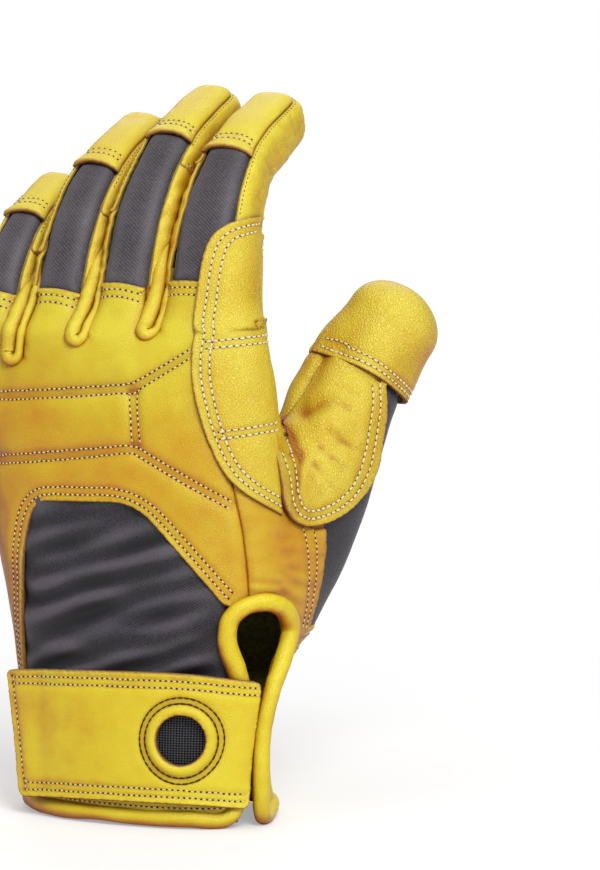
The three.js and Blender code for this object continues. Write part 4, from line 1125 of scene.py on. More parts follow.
tabs = knuckle_tabs()
SIDE_LINE = [(50, 131), (50, 123), (51.5, 116), (54, 104), (57, 90), (59.5, 73.5)]
WINDOW = [(44, 75.5), (8, 109), (-30, 107), (-41, 89), (-57, 51), (-57, 1)]
back = Sheet(
    reach_chart,
    [(LITTLE_SEAM, 1, 0, "seam"), (LITTLE_SEAM, 140, 20, "seam")] + tabs[:-1]
    + [(47, 164, 2, "under"), (47, 131, 0, "under")]
    + [(angle, up, 0, "seam") for angle, up in SIDE_LINE[:-1]] + [(*SIDE_LINE[-1], 0, "raw")]
    + [(angle, up, rounding, "raw") for (angle, up), rounding in zip(WINDOW, (2, 9, 7, 10, 10))]
    + [(*WINDOW[-1], 0, "bound")],
    rise=HIDE_RISE, thickness=HIDE_WALL,
)
# Quilting: middles of the double lines, as angle and height.
QUILT_CHANNEL = (0.7, 3.2)  # depth and width
QUILTING = [
    [(-62, 140), (-49, 141), (10, 147), (38, 160)],
    [(-66, 119), (-55, 119), (9, 127), (50, 109)],
    [(10, 145.5), (10, 128.5)],
]


def double_row(sheet, path, kind, gap=ROW_GAP):
    """Two rows of stitches either side of a path on the hide."""
    ahead = unit(np.gradient(path, axis=0))
    aside = np.column_stack([-ahead[:, 1], ahead[:, 0]])
    for way in (-1, 1):
        sheet.sew(path + aside * way * gap / 2, kind, depth=0.3)


def smooth_path(path, step=2.0):
    """A path with points at even steps, its corners kept."""
    parts = [np.linspace(a, b, max(int(np.linalg.norm(b - a) / step), 2), endpoint=False)
             for a, b in zip(path, path[1:])]
    return np.vstack(parts + [path[-1:]])


back.relax(25)
back.dent(34, 0.35, 11)
back.dent(12, 0.12, 12)
for line in QUILTING:
    path = smooth_path(back.path(line))
    back.channel(path, *QUILT_CHANNEL)
    double_row(back, path, "quilted")
window_first = back.corner_count - len(WINDOW)
for inset in (ROW_INSET, ROW_INSET + ROW_GAP):
    back.sew(back.beside(window_first, window_first + 5, inset), "quilted")
    for k in range(4):
        back.sew(smooth_path(back.path(knuckle_row(k, inset))), "quilted", depth=0.3)
piece("back_hide", ["back_panel"], [back], SHADED_BACK_LOOKS)
sewing("back_stitches", [back])


# Side panel
# A narrow hide between the back and the thumb's cloth, plain where it joins the back and
# sewn twice along the cloth. The cuff's keyhole is cut into its foot.

side = Sheet(
    palm_chart,
    [(angle - 0.3, up, 0, "seam") for angle, up in SIDE_LINE[::-1]]
    + [
        (104, 131, 2, "under"), (109, 98, 14, "raw"), (116, 62, 4, "raw"), (104, 56, 2, "bound"),
        (90, 56, 3, "bound"), (92.5, 63, 5, "bound"), (86, 70.5, 5, "bound"),
        (71, 73.5, 5, "bound"),
    ],
    rise=HIDE_RISE, thickness=HIDE_WALL,
)
KEYHOLE_FOLDS = [
    # start and end (angle, up), depth, width
    ((64, 79), (82, 78), 0.35, 1.3),
    ((62, 83), (80, 82), 0.25, 1.2),
    ((84, 79), (98, 73), 0.35, 1.4),
    ((86, 84), (102, 79), 0.25, 1.3),
]
for start, end, depth, width in KEYHOLE_FOLDS:
    side.fold(start, end, depth, width)
side.dent(14, 0.25, 21)
side.dent(3.4, 0.07, 22, (3, 3, 1))
first = len(SIDE_LINE)
for inset in (ROW_INSET, ROW_INSET + ROW_GAP):
    side.sew(side.beside(first + 0.3, first + 2, inset), "quilted", depth=0.3)
piece("side_hide", ["side_panel"], [side], SHADED_BACK_LOOKS)
sewing("side_stitches", [side])


# Finger backs
# Four strips of the same stretch twill over the finger joints, sewn under the hide all
# round, so that the fingers bend easily.

CLOTH_SHARE = 0.86
for index, (row, tube) in enumerate(zip(FINGERS, fingers)):
    cloth = Sheet(
        Face(tube, -1),
        [
            (-CLOTH_SHARE, row["knuckle"] - 5, 0), (CLOTH_SHARE, row["knuckle"] - 5, 0),
            (CLOTH_SHARE, row["cap"] + 4, 0), (-CLOTH_SHARE, row["cap"] + 4, 0),
        ],
        rise=-0.3, thickness=CLOTH_WALL, edge="under",
    )
    cloth.dent(17, 0.35, 30 + index, stretch=(2, 1, 1))
    # The finger strips take the lighter copy of the twill, painted light.
    looks = [LIT_FINGER_CLOTH, LINING, LIT_FINGER_CLOTH]
    piece(row["name"] + "_cloth", [row["name"] + "_back"], [cloth], looks)


# Fingertips
# Each tip is three hides sewn together: a cap over the nail with a thick raw edge, a front
# on the palm side, and a strip that runs up one flank, over the tip and down the other.


class Band:
    """Places on a tip strip: share of the half depth, and distance from its far end."""

    def __init__(self, tube, far, near):
        leg = 60
        tip = np.linspace(-1, 1, leg)
        self.turns = np.r_[-np.ones(leg), tip, np.ones(leg)]
        self.places = np.r_[
            np.linspace(far, tube.length, leg), np.full(leg, tube.length),
            np.linspace(tube.length, near, leg),
        ]
        self.tube = tube
        middle, _ = tube.strip(self.turns, np.zeros(3 * leg), self.places)
        self.arc = np.r_[0, np.linalg.norm(np.diff(middle, axis=0), axis=1).cumsum()]
        self.half = float(tube.rows[len(tube.s) // 2, 13])
        self.length = self.arc[-1]

    def flat(self, rows):
        rows = np.asarray(rows, float)
        return np.column_stack([rows[:, 0] * self.half, rows[:, 1]])

    def lay(self, flat):
        turns = np.interp(flat[:, 1], self.arc, self.turns)
        places = np.interp(flat[:, 1], self.arc, self.places)
        points, ways = self.tube.strip(turns, flat[:, 0] / self.half, places)
        return seat(points, ways), ways


def tip_end(tube, share):
    rest = max(1 - SEAM_SHARE**3 - abs(share) ** 3, 0)
    return tube.length + tube.end * rest ** (1 / 3)


def tip_arc(tube):
    """The seam over a fingertip, from one side to the other."""
    return [(share, tip_end(tube, share), 0, "seam") for share in
            np.array([1, 0.97, 0.88, 0.7, 0.4, 0, -0.4, -0.7, -0.88, -0.97, -1]) * SEAM_SHARE]


TIP_HIDE = hide("fingertip_hide", "dccc38", "d0ae18", "9c5404", grain=0.8, relief=0.2)
FRONT_HIDE = hide("palm_hide", "d8c63a", "ceaa16", "9c5404", grain=1.0, relief=0.3)
TIP_LOOKS = [TIP_HIDE, LINING, RAW_EDGE]
FRONT_LOOKS = [FRONT_HIDE, LINING, RAW_EDGE]
for index, (row, tube) in enumerate(zip(FINGERS, fingers)):
    name = row["name"]
    cap = Sheet(
        Face(tube, -1),
        [(-SEAM_SHARE, row["cap"] - 1, 0, "raw"), (0, row["cap"] + 0.4, 8, "raw"),
         (SEAM_SHARE, row["cap"] - 1, 0, "seam")] + tip_arc(tube)[:-1]
        + [(-SEAM_SHARE, tube.length, 0, "seam")],
        rise=HIDE_RISE + 0.1, thickness=HIDE_WALL,
    )
    above_edge = cap.flat[:, 1] - row["cap"]
    cap.base += 0.75 * np.exp(-((above_edge / 4) ** 2))
    cap.dent(15, 0.3, 40 + index)
    shares = np.linspace(-0.97, 0.97, 9) * SEAM_SHARE
    for inset in (3.6, 5.8):
        arch = 1.4 * (1 - (shares / SEAM_SHARE) ** 2)
        cap.sew(cap.path(np.column_stack([shares, row["cap"] - 1 + inset + arch])), "quilted", 0.3)
    piece(name + "_cap_hide", [name + "_cap"], [cap], TIP_LOOKS)

    front = Sheet(
        Face(tube, 1),
        [(-SEAM_SHARE, row["front"] - 3, 0, "under"), (SEAM_SHARE, row["front"] - 3, 0, "seam")]
        + tip_arc(tube)[:-1] + [(-SEAM_SHARE, tube.length, 0, "seam")],
        rise=HIDE_RISE, thickness=HIDE_WALL,
    )
    front.dent(11, 0.3, 50 + index, stretch=(2, 1, 1))
    piece(name + "_front_hide", [name + "_front"], [front], FRONT_LOOKS)

    band = Band(tube, row["far"], row["near"] - (10 if index == 0 else 0))
    strip = Sheet(
        band,
        [(-SEAM_SHARE, 0, 1.5, "seam"), (-SEAM_SHARE, band.length, 1.5, "raw"),
         (SEAM_SHARE, band.length, 1.5, "seam"), (SEAM_SHARE, 0, 1.5, "raw")],
        rise=HIDE_RISE, thickness=HIDE_WALL,
    )
    strip.dent(14, 0.25, 60 + index)
    strip.base -= 0.22 * np.exp(-(ripple(strip.points, 4.5, 64 + index, (2, 2, 1)) * 2.4) ** 2)
    from_end = np.minimum(strip.flat[:, 1], band.length - strip.flat[:, 1])
    strip.base += 0.7 * np.exp(-((from_end / 4) ** 2))
    for inset in (ROW_INSET, ROW_INSET + ROW_GAP):
        strip.sew(strip.beside(1.1, 1.9, inset), "quilted")
        strip.sew(strip.beside(3.1, 3.9, inset), "quilted")
    piece(name + "_strip_hide", [name + "_side_strip"], [strip], TIP_LOOKS)
    for seam in (strip.beside(0.1, 0.9, 0.5), strip.beside(2.1, 2.9, 0.5)):
        strip.rows.append((seam, "seam"))
    sewing(name + "_tip_stitches", [cap, strip])


# Fourchettes
# The strips between the fingers run down one finger, round the web and up the next. Each
# ends in a rolled loop of hide that lies on the back of the hand like a narrow U.

WEB_UP = 171
WEB_SINK = 8
LOOP_TOPS = [196, 194, 183]
LOOP_LIPS = (2.8, 1.6)  # radius of the loop's fat left lip and of its thin right one
LOOP_PLACES = (-1.8, 2.7)  # how far the two lips lie to either side
LOOP_RIGHT_TOP = 184  # where the thin lip ends
LOOP_POINTS = (34, 26)  # along the left lip and along the right one
STRIP_POINTS = 13  # across the strip
STRIP_STEPS = 12  # along each flank


class Net:
    """A chart through rows of points that already lie on the hand."""

    def __init__(self, points, ways, half):
        self.count = points.shape[1]
        self.rows = np.concatenate([points, ways], axis=2).reshape(len(points), -1)
        middle = points[:, self.count // 2]
        self.v = np.r_[0, np.linalg.norm(np.diff(middle, axis=0), axis=1).cumsum()]
        self.half, self.length = half, self.v[-1]

    def flat(self, rows):
        rows = np.asarray(rows, float)
        return np.column_stack([rows[:, 0] * self.half, rows[:, 1]])

    def lay(self, flat):
        rows = smooth_rows(self.v, self.rows, np.clip(flat[:, 1], 0, self.length))
        rows = rows.reshape(len(flat), self.count, 6)
        at = np.clip((flat[:, 0] / self.half + 1) / 2, 0, 1) * (self.count - 1)
        low = np.clip(at.astype(int), 0, self.count - 2)
        t = (at - low)[:, None]
        index = np.arange(len(flat))
        row = rows[index, low] * (1 - t) + rows[index, low + 1] * t
        return row[:, :3], unit(row[:, 3:])


def place_at(tube, up):
    """How far along a finger its middle is this high."""
    return float(np.interp(up, tube.rows[:, 2], tube.s))


def on_back(x, up):
    """Points on the back of the glove at places across and up, found from outside."""
    points = np.column_stack([x, np.full(len(x), -40.0), up])
    for _ in range(40):
        points[:, 1] += np.clip(form(points), -2, 30) * 0.8
    return points


class Roll:
    """A soft roll of hide along a path; its radius may change along the way."""

    def __init__(self, path, outs, radius, closed=False, sides=18, flatten=1.0):
        count = len(path)
        if closed:
            ahead = unit(np.roll(path, -1, axis=0) - np.roll(path, 1, axis=0))
        else:
            ahead = unit(np.gradient(path, axis=0))
        out = unit(outs - (outs * ahead).sum(1)[:, None] * ahead)
        over = np.cross(ahead, out)
        turn = np.linspace(0, 2 * math.pi, sides, endpoint=False)
        self.length = float(np.linalg.norm(np.diff(path, axis=0), axis=1).sum())
        self.girth = 2 * math.pi * float(np.mean(radius))
        radius = np.broadcast_to(radius, count)[:, None, None]
        section = (
            out[:, None] * np.cos(turn)[None, :, None] * flatten
            + over[:, None] * np.sin(turn)[None, :, None]
        )
        self.places = (path[:, None] + section * radius).reshape(-1, 3)
        self.normals = unit(section).reshape(-1, 3)
        links = count if closed else count - 1
        i, k = np.meshgrid(np.arange(links), np.arange(sides), indexing="ij")
        a, b = i * sides + k, i * sides + (k + 1) % sides
        c, d = ((i + 1) % count) * sides + (k + 1) % sides, ((i + 1) % count) * sides + k
        self.faces = np.concatenate([
            np.stack([a, b, c], -1).reshape(-1, 3), np.stack([a, c, d], -1).reshape(-1, 3)
        ])
        self.flats = np.stack([
            np.broadcast_to(turn[None] * 3, (count, sides)),
            np.broadcast_to(np.arange(count)[:, None] * 1.0, (count, sides)),
        ], -1).reshape(-1, 2)
        if not closed:
            for end in (0, count - 1):
                self.places = np.vstack([self.places, path[end]])
                self.normals = np.vstack([self.normals, ahead[end]])
                self.flats = np.vstack([self.flats, [0, 0]])
                ring = np.arange(end * sides, (end + 1) * sides)
                pole = np.full(sides, len(self.places) - 1)
                fan = np.column_stack([pole, np.roll(ring, -1), ring])
                self.faces = np.vstack([self.faces, fan if end == 0 else fan[:, ::-1]])

    def span(self):
        """Width and length of the strip that the roll is made of."""
        return self.girth, self.length

    def cut_area(self):
        return self.girth * self.length / 2

    def wrinkle(self, size, amount, seed, stretch=(1, 1, 1)):
        self.places += self.normals * amount * ripple(self.places, size, seed, stretch)[:, None]
        return self


def fourchette(index):
    a, b = fingers[index], fingers[index + 1]
    shares = np.linspace(-SEAM_SHARE, SEAM_SHARE, STRIP_POINTS)
    ones = np.ones(STRIP_POINTS)
    rows, ways = [], []

    def flank(tube, turn, s):
        points, out = tube.strip(ones * turn, shares, ones * s)
        rows.append(seat(points, out))
        ways.append(out)

    for s in np.linspace(FINGERS[index]["far"] + 4, place_at(a, WEB_UP + 4), STRIP_STEPS):
        flank(a, -1, s)
    low = [ones * place_at(tube, WEB_UP - WEB_SINK) for tube in (a, b)]
    left, _ = b.strip(ones, shares, low[1])
    right, _ = a.strip(-ones, shares, low[0])
    lift = np.tile(UP, (STRIP_POINTS, 1))
    rows.append(seat((left + right) / 2, lift))
    ways.append(lift)
    for s in np.linspace(place_at(b, WEB_UP + 4), FINGERS[index + 1]["near"] + 4, STRIP_STEPS):
        flank(b, 1, s)
    net = Net(np.array(rows), np.array(ways), 12)
    strip = Sheet(
        net,
        [(-1, 0, 0, "seam"), (-1, net.length, 0, "under"), (1, net.length, 0, "seam"),
         (1, 0, 0, "under")],
        rise=HIDE_RISE, thickness=HIDE_WALL,
    )
    strip.dent(9, 0.25, 70 + index)
    strip.base += 0.16 * ripple(strip.points, 2.6, 75 + index, (3, 3, 1))

    def gap(up):
        """The seams that face each other across the gap, left and right, at a height."""
        return [
            tube.face(-1, np.array([share]), np.array([place_at(tube, up)]))[0][0]
            for tube, share in ((b, SEAM_SHARE), (a, -SEAM_SHARE))
        ]

    def middle(up):
        return sum(gap(up)) / 2

    top, low, high = LOOP_TOPS[index], *LOOP_PLACES
    end = LOOP_ENDS[index] + LOOP_LIPS[0]
    downs, ups = LOOP_POINTS
    left_ups = np.linspace(top, end, downs)
    right_ups = np.linspace(end, LOOP_RIGHT_TOP, ups)
    turn = np.linspace(0, math.pi, 17)[1:-1]
    half, offset = (high - low) / 2, (high + low) / 2
    z = np.r_[left_ups, end - half * np.sin(turn), right_ups]
    seams = np.array([gap(up) for up in z])
    centres = seams.mean(1)
    x = centres[:, 0] + np.r_[
        np.full(downs, low), offset - half * np.cos(turn), np.full(ups, high)
    ]
    left, right = np.arange(len(z)) < downs, np.arange(len(z)) >= len(z) - ups
    up_left, up_right = smoothstep(z, 168, 180) * left, smoothstep(z, 166, 176) * right
    path = on_back(x, z)
    path[:, 1] = np.where(path[:, 1] > centres[:, 1] - 0.5, centres[:, 1], path[:, 1])
    share = np.r_[np.zeros(downs), (1 - np.cos(turn)) / 2, np.ones(ups)]
    radius = LOOP_LIPS[0] * (1 - share) + LOOP_LIPS[1] * share
    path[:, 1] -= 0.35 * radius
    path += up_left[:, None] * (seams[:, 0] + [2.1, 1.9, 0] - path)
    path += up_right[:, None] * (seams[:, 1] + [-0.6, 0.8, 0] - path)
    path[:, 2] = z
    path[:, 1] = np.convolve(np.pad(path[:, 1], 4, mode="edge"), np.ones(9) / 9, "valid")
    outs = np.tile([0.0, -1.0, 0.0], (len(path), 1))
    radius = radius * np.where(
        left, 0.25 + 0.75 * smoothstep(z, top, top - 12),
        0.3 + 0.7 * smoothstep(z, LOOP_RIGHT_TOP, LOOP_RIGHT_TOP - 10),
    )
    path[:, 1] += 1.6 * smoothstep(z, top - 12, top) * left
    roll = Roll(path, outs, radius, flatten=0.9)
    roll.wrinkle(2.2, 0.09, 80 + index, (4, 1, 1)).wrinkle(8, 0.2, 84 + index)
    ribs = np.linspace(end + 1, LOOP_RIGHT_TOP + 2, 16)
    floor = np.array([middle(up) for up in ribs])
    on = on_back(floor[:, 0], ribs)
    floor[:, 1] = np.where(on[:, 1] > floor[:, 1] + 1, floor[:, 1] + 2.4, on[:, 1] - 0.2)
    floor[:, 2] = ribs
    across = np.linspace(-3.4, 3.4, 9)[:, None] * [1, 0, 0]
    bed = Net(floor[:, None] + across[None], np.tile([0.0, -1.0, 0.0], (16, 9, 1)), 3.4)
    crease = Sheet(
        bed, [(-1, 0, 0), (-1, bed.length, 0), (1, bed.length, 0), (1, 0, 0)],
        rise=0, thickness=0.8, edge="under",
    )
    crease.base += 0.22 * ripple(crease.points, 1.8, 88 + index, (4, 1, 1))
    return strip, roll, crease


for index in range(3):
    names = (FINGERS[index]["name"], FINGERS[index + 1]["name"])
    strip, roll, crease = fourchette(index)
    piece(
        "between_{}_{}".format(*names), ["fourchette_{}_{}".format(*names)],
        [strip, roll, crease], TIP_LOOKS,
    )


# Thumb cloth
# The same twill over the back of the thumb and down to the cuff, sewn under the side panel,
# the thumb's hide and its cap.

thumb_chart = Round(thumb, 70)
thumb_cloth = Sheet(
    thumb_chart,
    [
        (36, 6, 0), (10, 15, 4), (-40, 30, 4), (-40, 99, 0), (95, 99, 0), (88, 50, 0), (84, 6, 0),
    ],
    rise=-0.4, thickness=CLOTH_WALL, edge="under",
)
thumb_cloth.dent(20, 0.35, 90)
piece("thumb_cloth", ["thumb_back"], [thumb_cloth], [CLOTH, LINING, CLOTH])


# Thumb cap
# A closed hide tip over the thumb, pebbled, with one seam up its inner side and a raw lower
# edge sewn twice to what lies below.

CAP_SEAM = -143
THUMB_HIDE = hide("pebbled_hide", "dac840", "ceaa18", "9a5002", grain=1.1, relief=0.34)
THUMB_LOOKS = [THUMB_HIDE, LINING, RAW_EDGE]
tip = thumb.length + 1.3 * THUMB_ROUND - 0.4
thumb_cap = Sheet(
    thumb_chart,
    [(CAP_SEAM, THUMB_CAP, 0, "raw"), (CAP_SEAM + 360, THUMB_CAP, 0, "seam"),
     (CAP_SEAM + 360, tip, 0, "bound"), (CAP_SEAM, tip, 0, "seam")],
    rise=HIDE_RISE + 1.0, thickness=HIDE_WALL,
)
thumb_cap.drop = np.where(thumb_cap.flat[:, 1] > tip - 12, thumb_cap.drop * 0.15, thumb_cap.drop)
cap_angle = np.interp(thumb_cap.flat[:, 0], thumb_chart.arc, thumb_chart.angles)
cap_foot = 1 - smoothstep(thumb_cap.flat[:, 1], THUMB_CAP + 4, THUMB_CAP + 24)
CAP_SLIM = dict(angle=-98, width=34, amount=2.4)  # its foot draws in beside the index finger
from_slim = (cap_angle - CAP_SLIM["angle"]) / CAP_SLIM["width"]
thumb_cap.base -= CAP_SLIM["amount"] * np.exp(-(from_slim**2)) * cap_foot
thumb_cap.dent(16, 0.35, 91)
for inset in (ROW_INSET, ROW_INSET + ROW_GAP):
    thumb_cap.sew(thumb_cap.beside(0.05, 0.95, inset), "cream")
piece("thumb_cap_hide", ["thumb_cap"], [thumb_cap], THUMB_LOOKS)
sewing("thumb_cap_stitches", [thumb_cap])


# Thumb patch
# A tough hide over the thumb's inner side and the crotch, creased where the thumb bends,
# with its raw edge sewn twice over the cloth.

PATCH_RISE = 1.9
PATCH_WALL = 1.6


class Facing:
    """Where a place is seen from one side: millimetres across and up from the origin."""

    def __init__(self, azimuth, elevation=8):
        a, e = math.radians(azimuth), math.radians(elevation)
        self.right = np.array([math.cos(a), math.sin(a), 0])
        self.ahead = np.array(
            [-math.sin(a) * math.cos(e), math.cos(a) * math.cos(e), -math.sin(e)]
        )
        self.above = np.cross(self.right, self.ahead)

    def flat(self, rows):
        return np.asarray(rows, float)[:, :2]

    def lay(self, flat):
        points = flat[:, :1] * self.right + flat[:, 1:] * self.above - 120 * self.ahead
        best, closest = points.copy(), np.full(len(points), 1e9)
        for _ in range(34):
            d = form(points)
            nearer = d < closest
            best[nearer], closest[nearer] = points[nearer], d[nearer]
            points = points + self.ahead * np.clip(d, -4, 60)[:, None] * 0.85
        for _ in range(3):
            best -= steepest(best) * form(best)[:, None]
        return best, steepest(best)


thumb_patch = Sheet(
    Facing(24),
    [
        (80.5, 147, 0, "raw"), (79.8, 135.7, 6, "raw"), (77.4, 122.1, 8, "raw"),
        (75, 111.8, 8, "raw"), (69.9, 104, 8, "raw"), (63.1, 98.9, 8, "raw"),
        (55.2, 96.2, 5, "raw"), (50.6, 96.2, 4, "raw"), (46.4, 98.6, 4, "raw"),
        (44, 103, 4, "raw"), (42.8, 111.8, 6, "raw"), (41.6, 120.4, 6, "raw"),
        (41.2, 127, 2, "under"), (43, 131, 2, "under"), (52.2, 141, 4, "under"),
        (55.8, 149.5, 4, "under"), (61, 160, 0, "under"),
    ],
    rise=PATCH_RISE, thickness=PATCH_WALL,
)
thumb_patch.relax(8)
THUMB_CREASES = [
    # across and up along each valley from the crotch, depth, width
    ([(54, 134.5), (58, 137), (62, 138), (66, 137), (69, 134)], 2.2, 3.8),
    ([(43.5, 126.5), (47, 124), (51, 120), (54, 115.5), (55.5, 110)], 1.7, 3.8),
    ([(50, 119), (48.5, 112), (47.5, 105)], 0.9, 1.8),
    ([(56, 117), (61, 110), (66, 105)], 0.7, 1.5),
    ([(58, 122), (65, 116), (71, 111)], 0.7, 1.5),
    ([(61, 128), (68, 123), (75, 120)], 0.6, 1.6),
    ([(64, 143), (70, 140), (77, 139.5)], 0.5, 2),
]
for line, depth, width in THUMB_CREASES:
    thumb_patch.crease(smooth_path(np.array(line, float), 0.8), depth, width)
thumb_patch.bulge(np.array([(47, 130), (55, 131.5), (62, 130)], float), 1.5, 4)
thumb_patch.bulge(np.array([(50, 158), (61, 154), (70, 149.5), (82, 143.5)], float), -1.1, 4.5)
thumb_side = np.array([(40, 128), (43, 131), (52.2, 141), (55.8, 149.5), (61, 160)], float)
thumb_patch.bulge(thumb_side, -1.2, 8)
CRUMPLE = dict(across=65, up=119, width=9, height=17, depth=0.24)  # fine creases of the bend
crumple_x = (thumb_patch.flat[:, 0] - CRUMPLE["across"]) / CRUMPLE["width"]
crumple_y = (thumb_patch.flat[:, 1] - CRUMPLE["up"]) / CRUMPLE["height"]
lines = ripple(thumb_patch.points, 5, 98, (1.6, 1, 1)) * 2.2
thumb_patch.base -= CRUMPLE["depth"] * np.exp(-crumple_x**2 - crumple_y**2) * np.exp(-lines**2)
on_hand = 1 - smoothstep(thumb_patch.flat[:, 0], 48, 66)
thumb_patch.base += 1.5 * on_hand * (1 - smoothstep(thumb_patch.flat[:, 1], 112, 132))
PATCH_DENTS = [(15, 0.4, 95), (5, 0.12, 96)]  # size, height, seed
for dents in PATCH_DENTS:
    thumb_patch.dent(*dents)
for inset in (ROW_INSET, ROW_INSET + ROW_GAP):
    thumb_patch.sew(thumb_patch.beside(0.05, 11.8, inset), "cream")
far_side = Sheet(
    thumb_chart,
    [
        (-108, 99, 0, "under"), (-108, 62, 4, "under"), (-122, 52, 4, "under"),
        (-215, 58, 4, "seam"), (-222, 99, 0, "under"),
    ],
    rise=PATCH_RISE, thickness=PATCH_WALL,
)
THUMB_SLIM = 2.4  # the thumb draws in beside the index finger
THUMB_TUCK = 2.2  # and its far side goes in under the patch
far_angle = np.interp(far_side.flat[:, 0], thumb_chart.arc, thumb_chart.angles)
far_side.base -= THUMB_SLIM * smoothstep(far_angle, -150, -116)
far_side.base -= THUMB_TUCK * smoothstep(far_angle, -124, -111)
for dents in PATCH_DENTS:
    far_side.dent(*dents)
crotch = Sheet(
    palm_chart,
    [
        (88, 98, 3, "under"), (80, 134, 2, "under"), (130, 134, 2, "under"),
        (116, 104, 6, "seam"), (98, 97, 3, "under"),
    ],
    rise=0.6, thickness=PATCH_WALL,
)
crotch.dent(10, 0.25, 97)
piece(
    "thumb_patch_hide", ["thumb_patch"], [thumb_patch, far_side, crotch], THUMB_LOOKS,
)
sewing("thumb_patch_stitches", [thumb_patch])


# Palm patch
# The second layer of hide over the palm, wrapped round the side of the index finger on to
# the back, and up the front of each finger. Its raw edges are sewn twice.

index_patch = Sheet(
    Facing(50),
    [
        (31, 97, 2, "raw"), (22, 101.4, 6, "raw"), (14.3, 107, 8, "raw"), (9, 114.2, 8, "raw"),
        (5.3, 126.7, 8, "raw"), (3.5, 138.5, 8, "raw"), (3.1, 147.1, 8, "raw"),
        (4.1, 155.6, 8, "raw"), (6.8, 165.7, 8, "raw"), (8.3, 175.8, 8, "raw"),
        (10.4, 185.2, 6, "raw"), (13.2, 191.8, 5, "raw"), (17.5, 195.8, 4, "raw"),
        (22.7, 197.4, 4, "raw"), (30.3, 198.6, 4, "raw"), (34, 198.4, 1, "under"),
        (33.2, 189, 2, "under"), (31, 172, 4, "under"), (31, 157, 4, "under"),
        (32.5, 145, 4, "under"), (33.6, 130, 4, "under"), (33, 118, 4, "under"),
        (33, 104, 2, "under"),
    ],
    rise=PATCH_RISE, thickness=PATCH_WALL,
)
palm_patch = Sheet(
    palm_chart,
    [
        (96, 104, 3, "under"), (88, 120, 4, "under"), (90, 148, 4, "under"),
        (118, 162, 6, "under"), (262, 164, 2, "seam"),
        (262, 136, 4, "raw"), (165, 134, 10, "raw"), (148, 119, 10, "raw"), (112, 112, 6, "raw"),
    ],
    rise=PATCH_RISE, thickness=PATCH_WALL,
)
index_wrap = Sheet(
    Round(fingers[0], 40),
    [
        (97, 22, 0, "under"), (97, 67, 2, "raw"), (130, 62, 4, "raw"), (222, 59, 0, "seam"),
        (222, 22, 0, "under"),
    ],
    rise=PATCH_RISE, thickness=PATCH_WALL,
)
index_patch.relax(60)
INDEX_LIFT = 0.7  # it lies over the palm's layer
INDEX_TUCK = 1.8  # its lower end dips under the thumb's patch
index_patch.base += INDEX_LIFT
index_patch.base -= INDEX_TUCK * smoothstep(index_patch.flat[:, 0], 28, 31.5) * (
    1 - smoothstep(index_patch.flat[:, 1], 126, 138)
)
for sheet in (palm_patch, index_wrap):
    angle = np.interp(sheet.flat[:, 0], sheet.chart.arc, sheet.chart.angles)
    low_end = 1 - smoothstep(sheet.flat[:, 1], 28, 38) if sheet is index_wrap else 0
    sheet.base -= (1.3 + 1.6 * low_end) * (1 - smoothstep(angle, 100, 120))
palm_sheets = [index_patch, palm_patch, index_wrap]
for sheet in palm_sheets:
    sheet.dent(18, 0.35, 101)
for inset in (ROW_INSET, ROW_INSET + ROW_GAP):
    index_patch.sew(index_patch.beside(0.1, 14.9, inset), "cream")
    palm_patch.sew(palm_patch.beside(5.1, 8, inset), "cream")
    wrap_row = [(116, 64 - inset), (130, 62 - inset), (170, 60.8 - inset), (221, 59 - inset)]
    index_wrap.sew(smooth_path(index_wrap.path(wrap_row)), "cream")
INDEX_CROSSES = [[(8, 156.2), (31, 157.4)], [(9.5, 126), (31, 127.8)]]
for line in INDEX_CROSSES:
    double_row(index_patch, smooth_path(index_patch.path(line)), "cream")
CROSS_ROWS = [[(96, 158), (258, 158)], [(150, 146), (200, 150), (250, 146)]]
for line in CROSS_ROWS:
    double_row(palm_patch, smooth_path(palm_patch.path(line)), "cream")
for index, (row, tube) in enumerate(zip(FINGERS, fingers)):
    if index == 0:
        continue
    tab = Sheet(
        Face(tube, 1),
        [(-SEAM_SHARE, 20, 0, "under"), (SEAM_SHARE, 20, 0, "seam"),
         (SEAM_SHARE, row["front"], 2, "raw"), (-SEAM_SHARE, row["front"], 2, "seam")],
        rise=PATCH_RISE, thickness=PATCH_WALL,
    )
    tab.dent(12, 0.3, 104 + index)
    for inset in (ROW_INSET, ROW_INSET + ROW_GAP):
        tab.sew(tab.beside(2.1, 2.9, inset), "cream")
    palm_sheets.append(tab)
piece("palm_patch_hide", ["palm_patch"], palm_sheets, FRONT_LOOKS)
sewing("palm_patch_stitches", palm_sheets)


# Thumb front
# The hide over the ball of the thumb, joined to the palm by a curved double seam.

thumb_front = Sheet(
    thumb_chart,
    [
        (70, 3, 0), (75, 20, 4), (85, 60, 4), (85, 99, 0, "under"), (225, 99, 0), (215, 52, 4),
        (192, 40, 4), (178, 30, 4), (168, 20, 4), (158, 3, 0),
    ],
    rise=HIDE_RISE, thickness=HIDE_WALL,
)
thumb_front.dent(18, 0.4, 110)
piece("thumb_front_hide", ["thumb_front"], [thumb_front], FRONT_LOOKS)


# Palm panel
# The plain hide of the palm and heel, from the hem to the patch, round the little finger's
# side to the back.

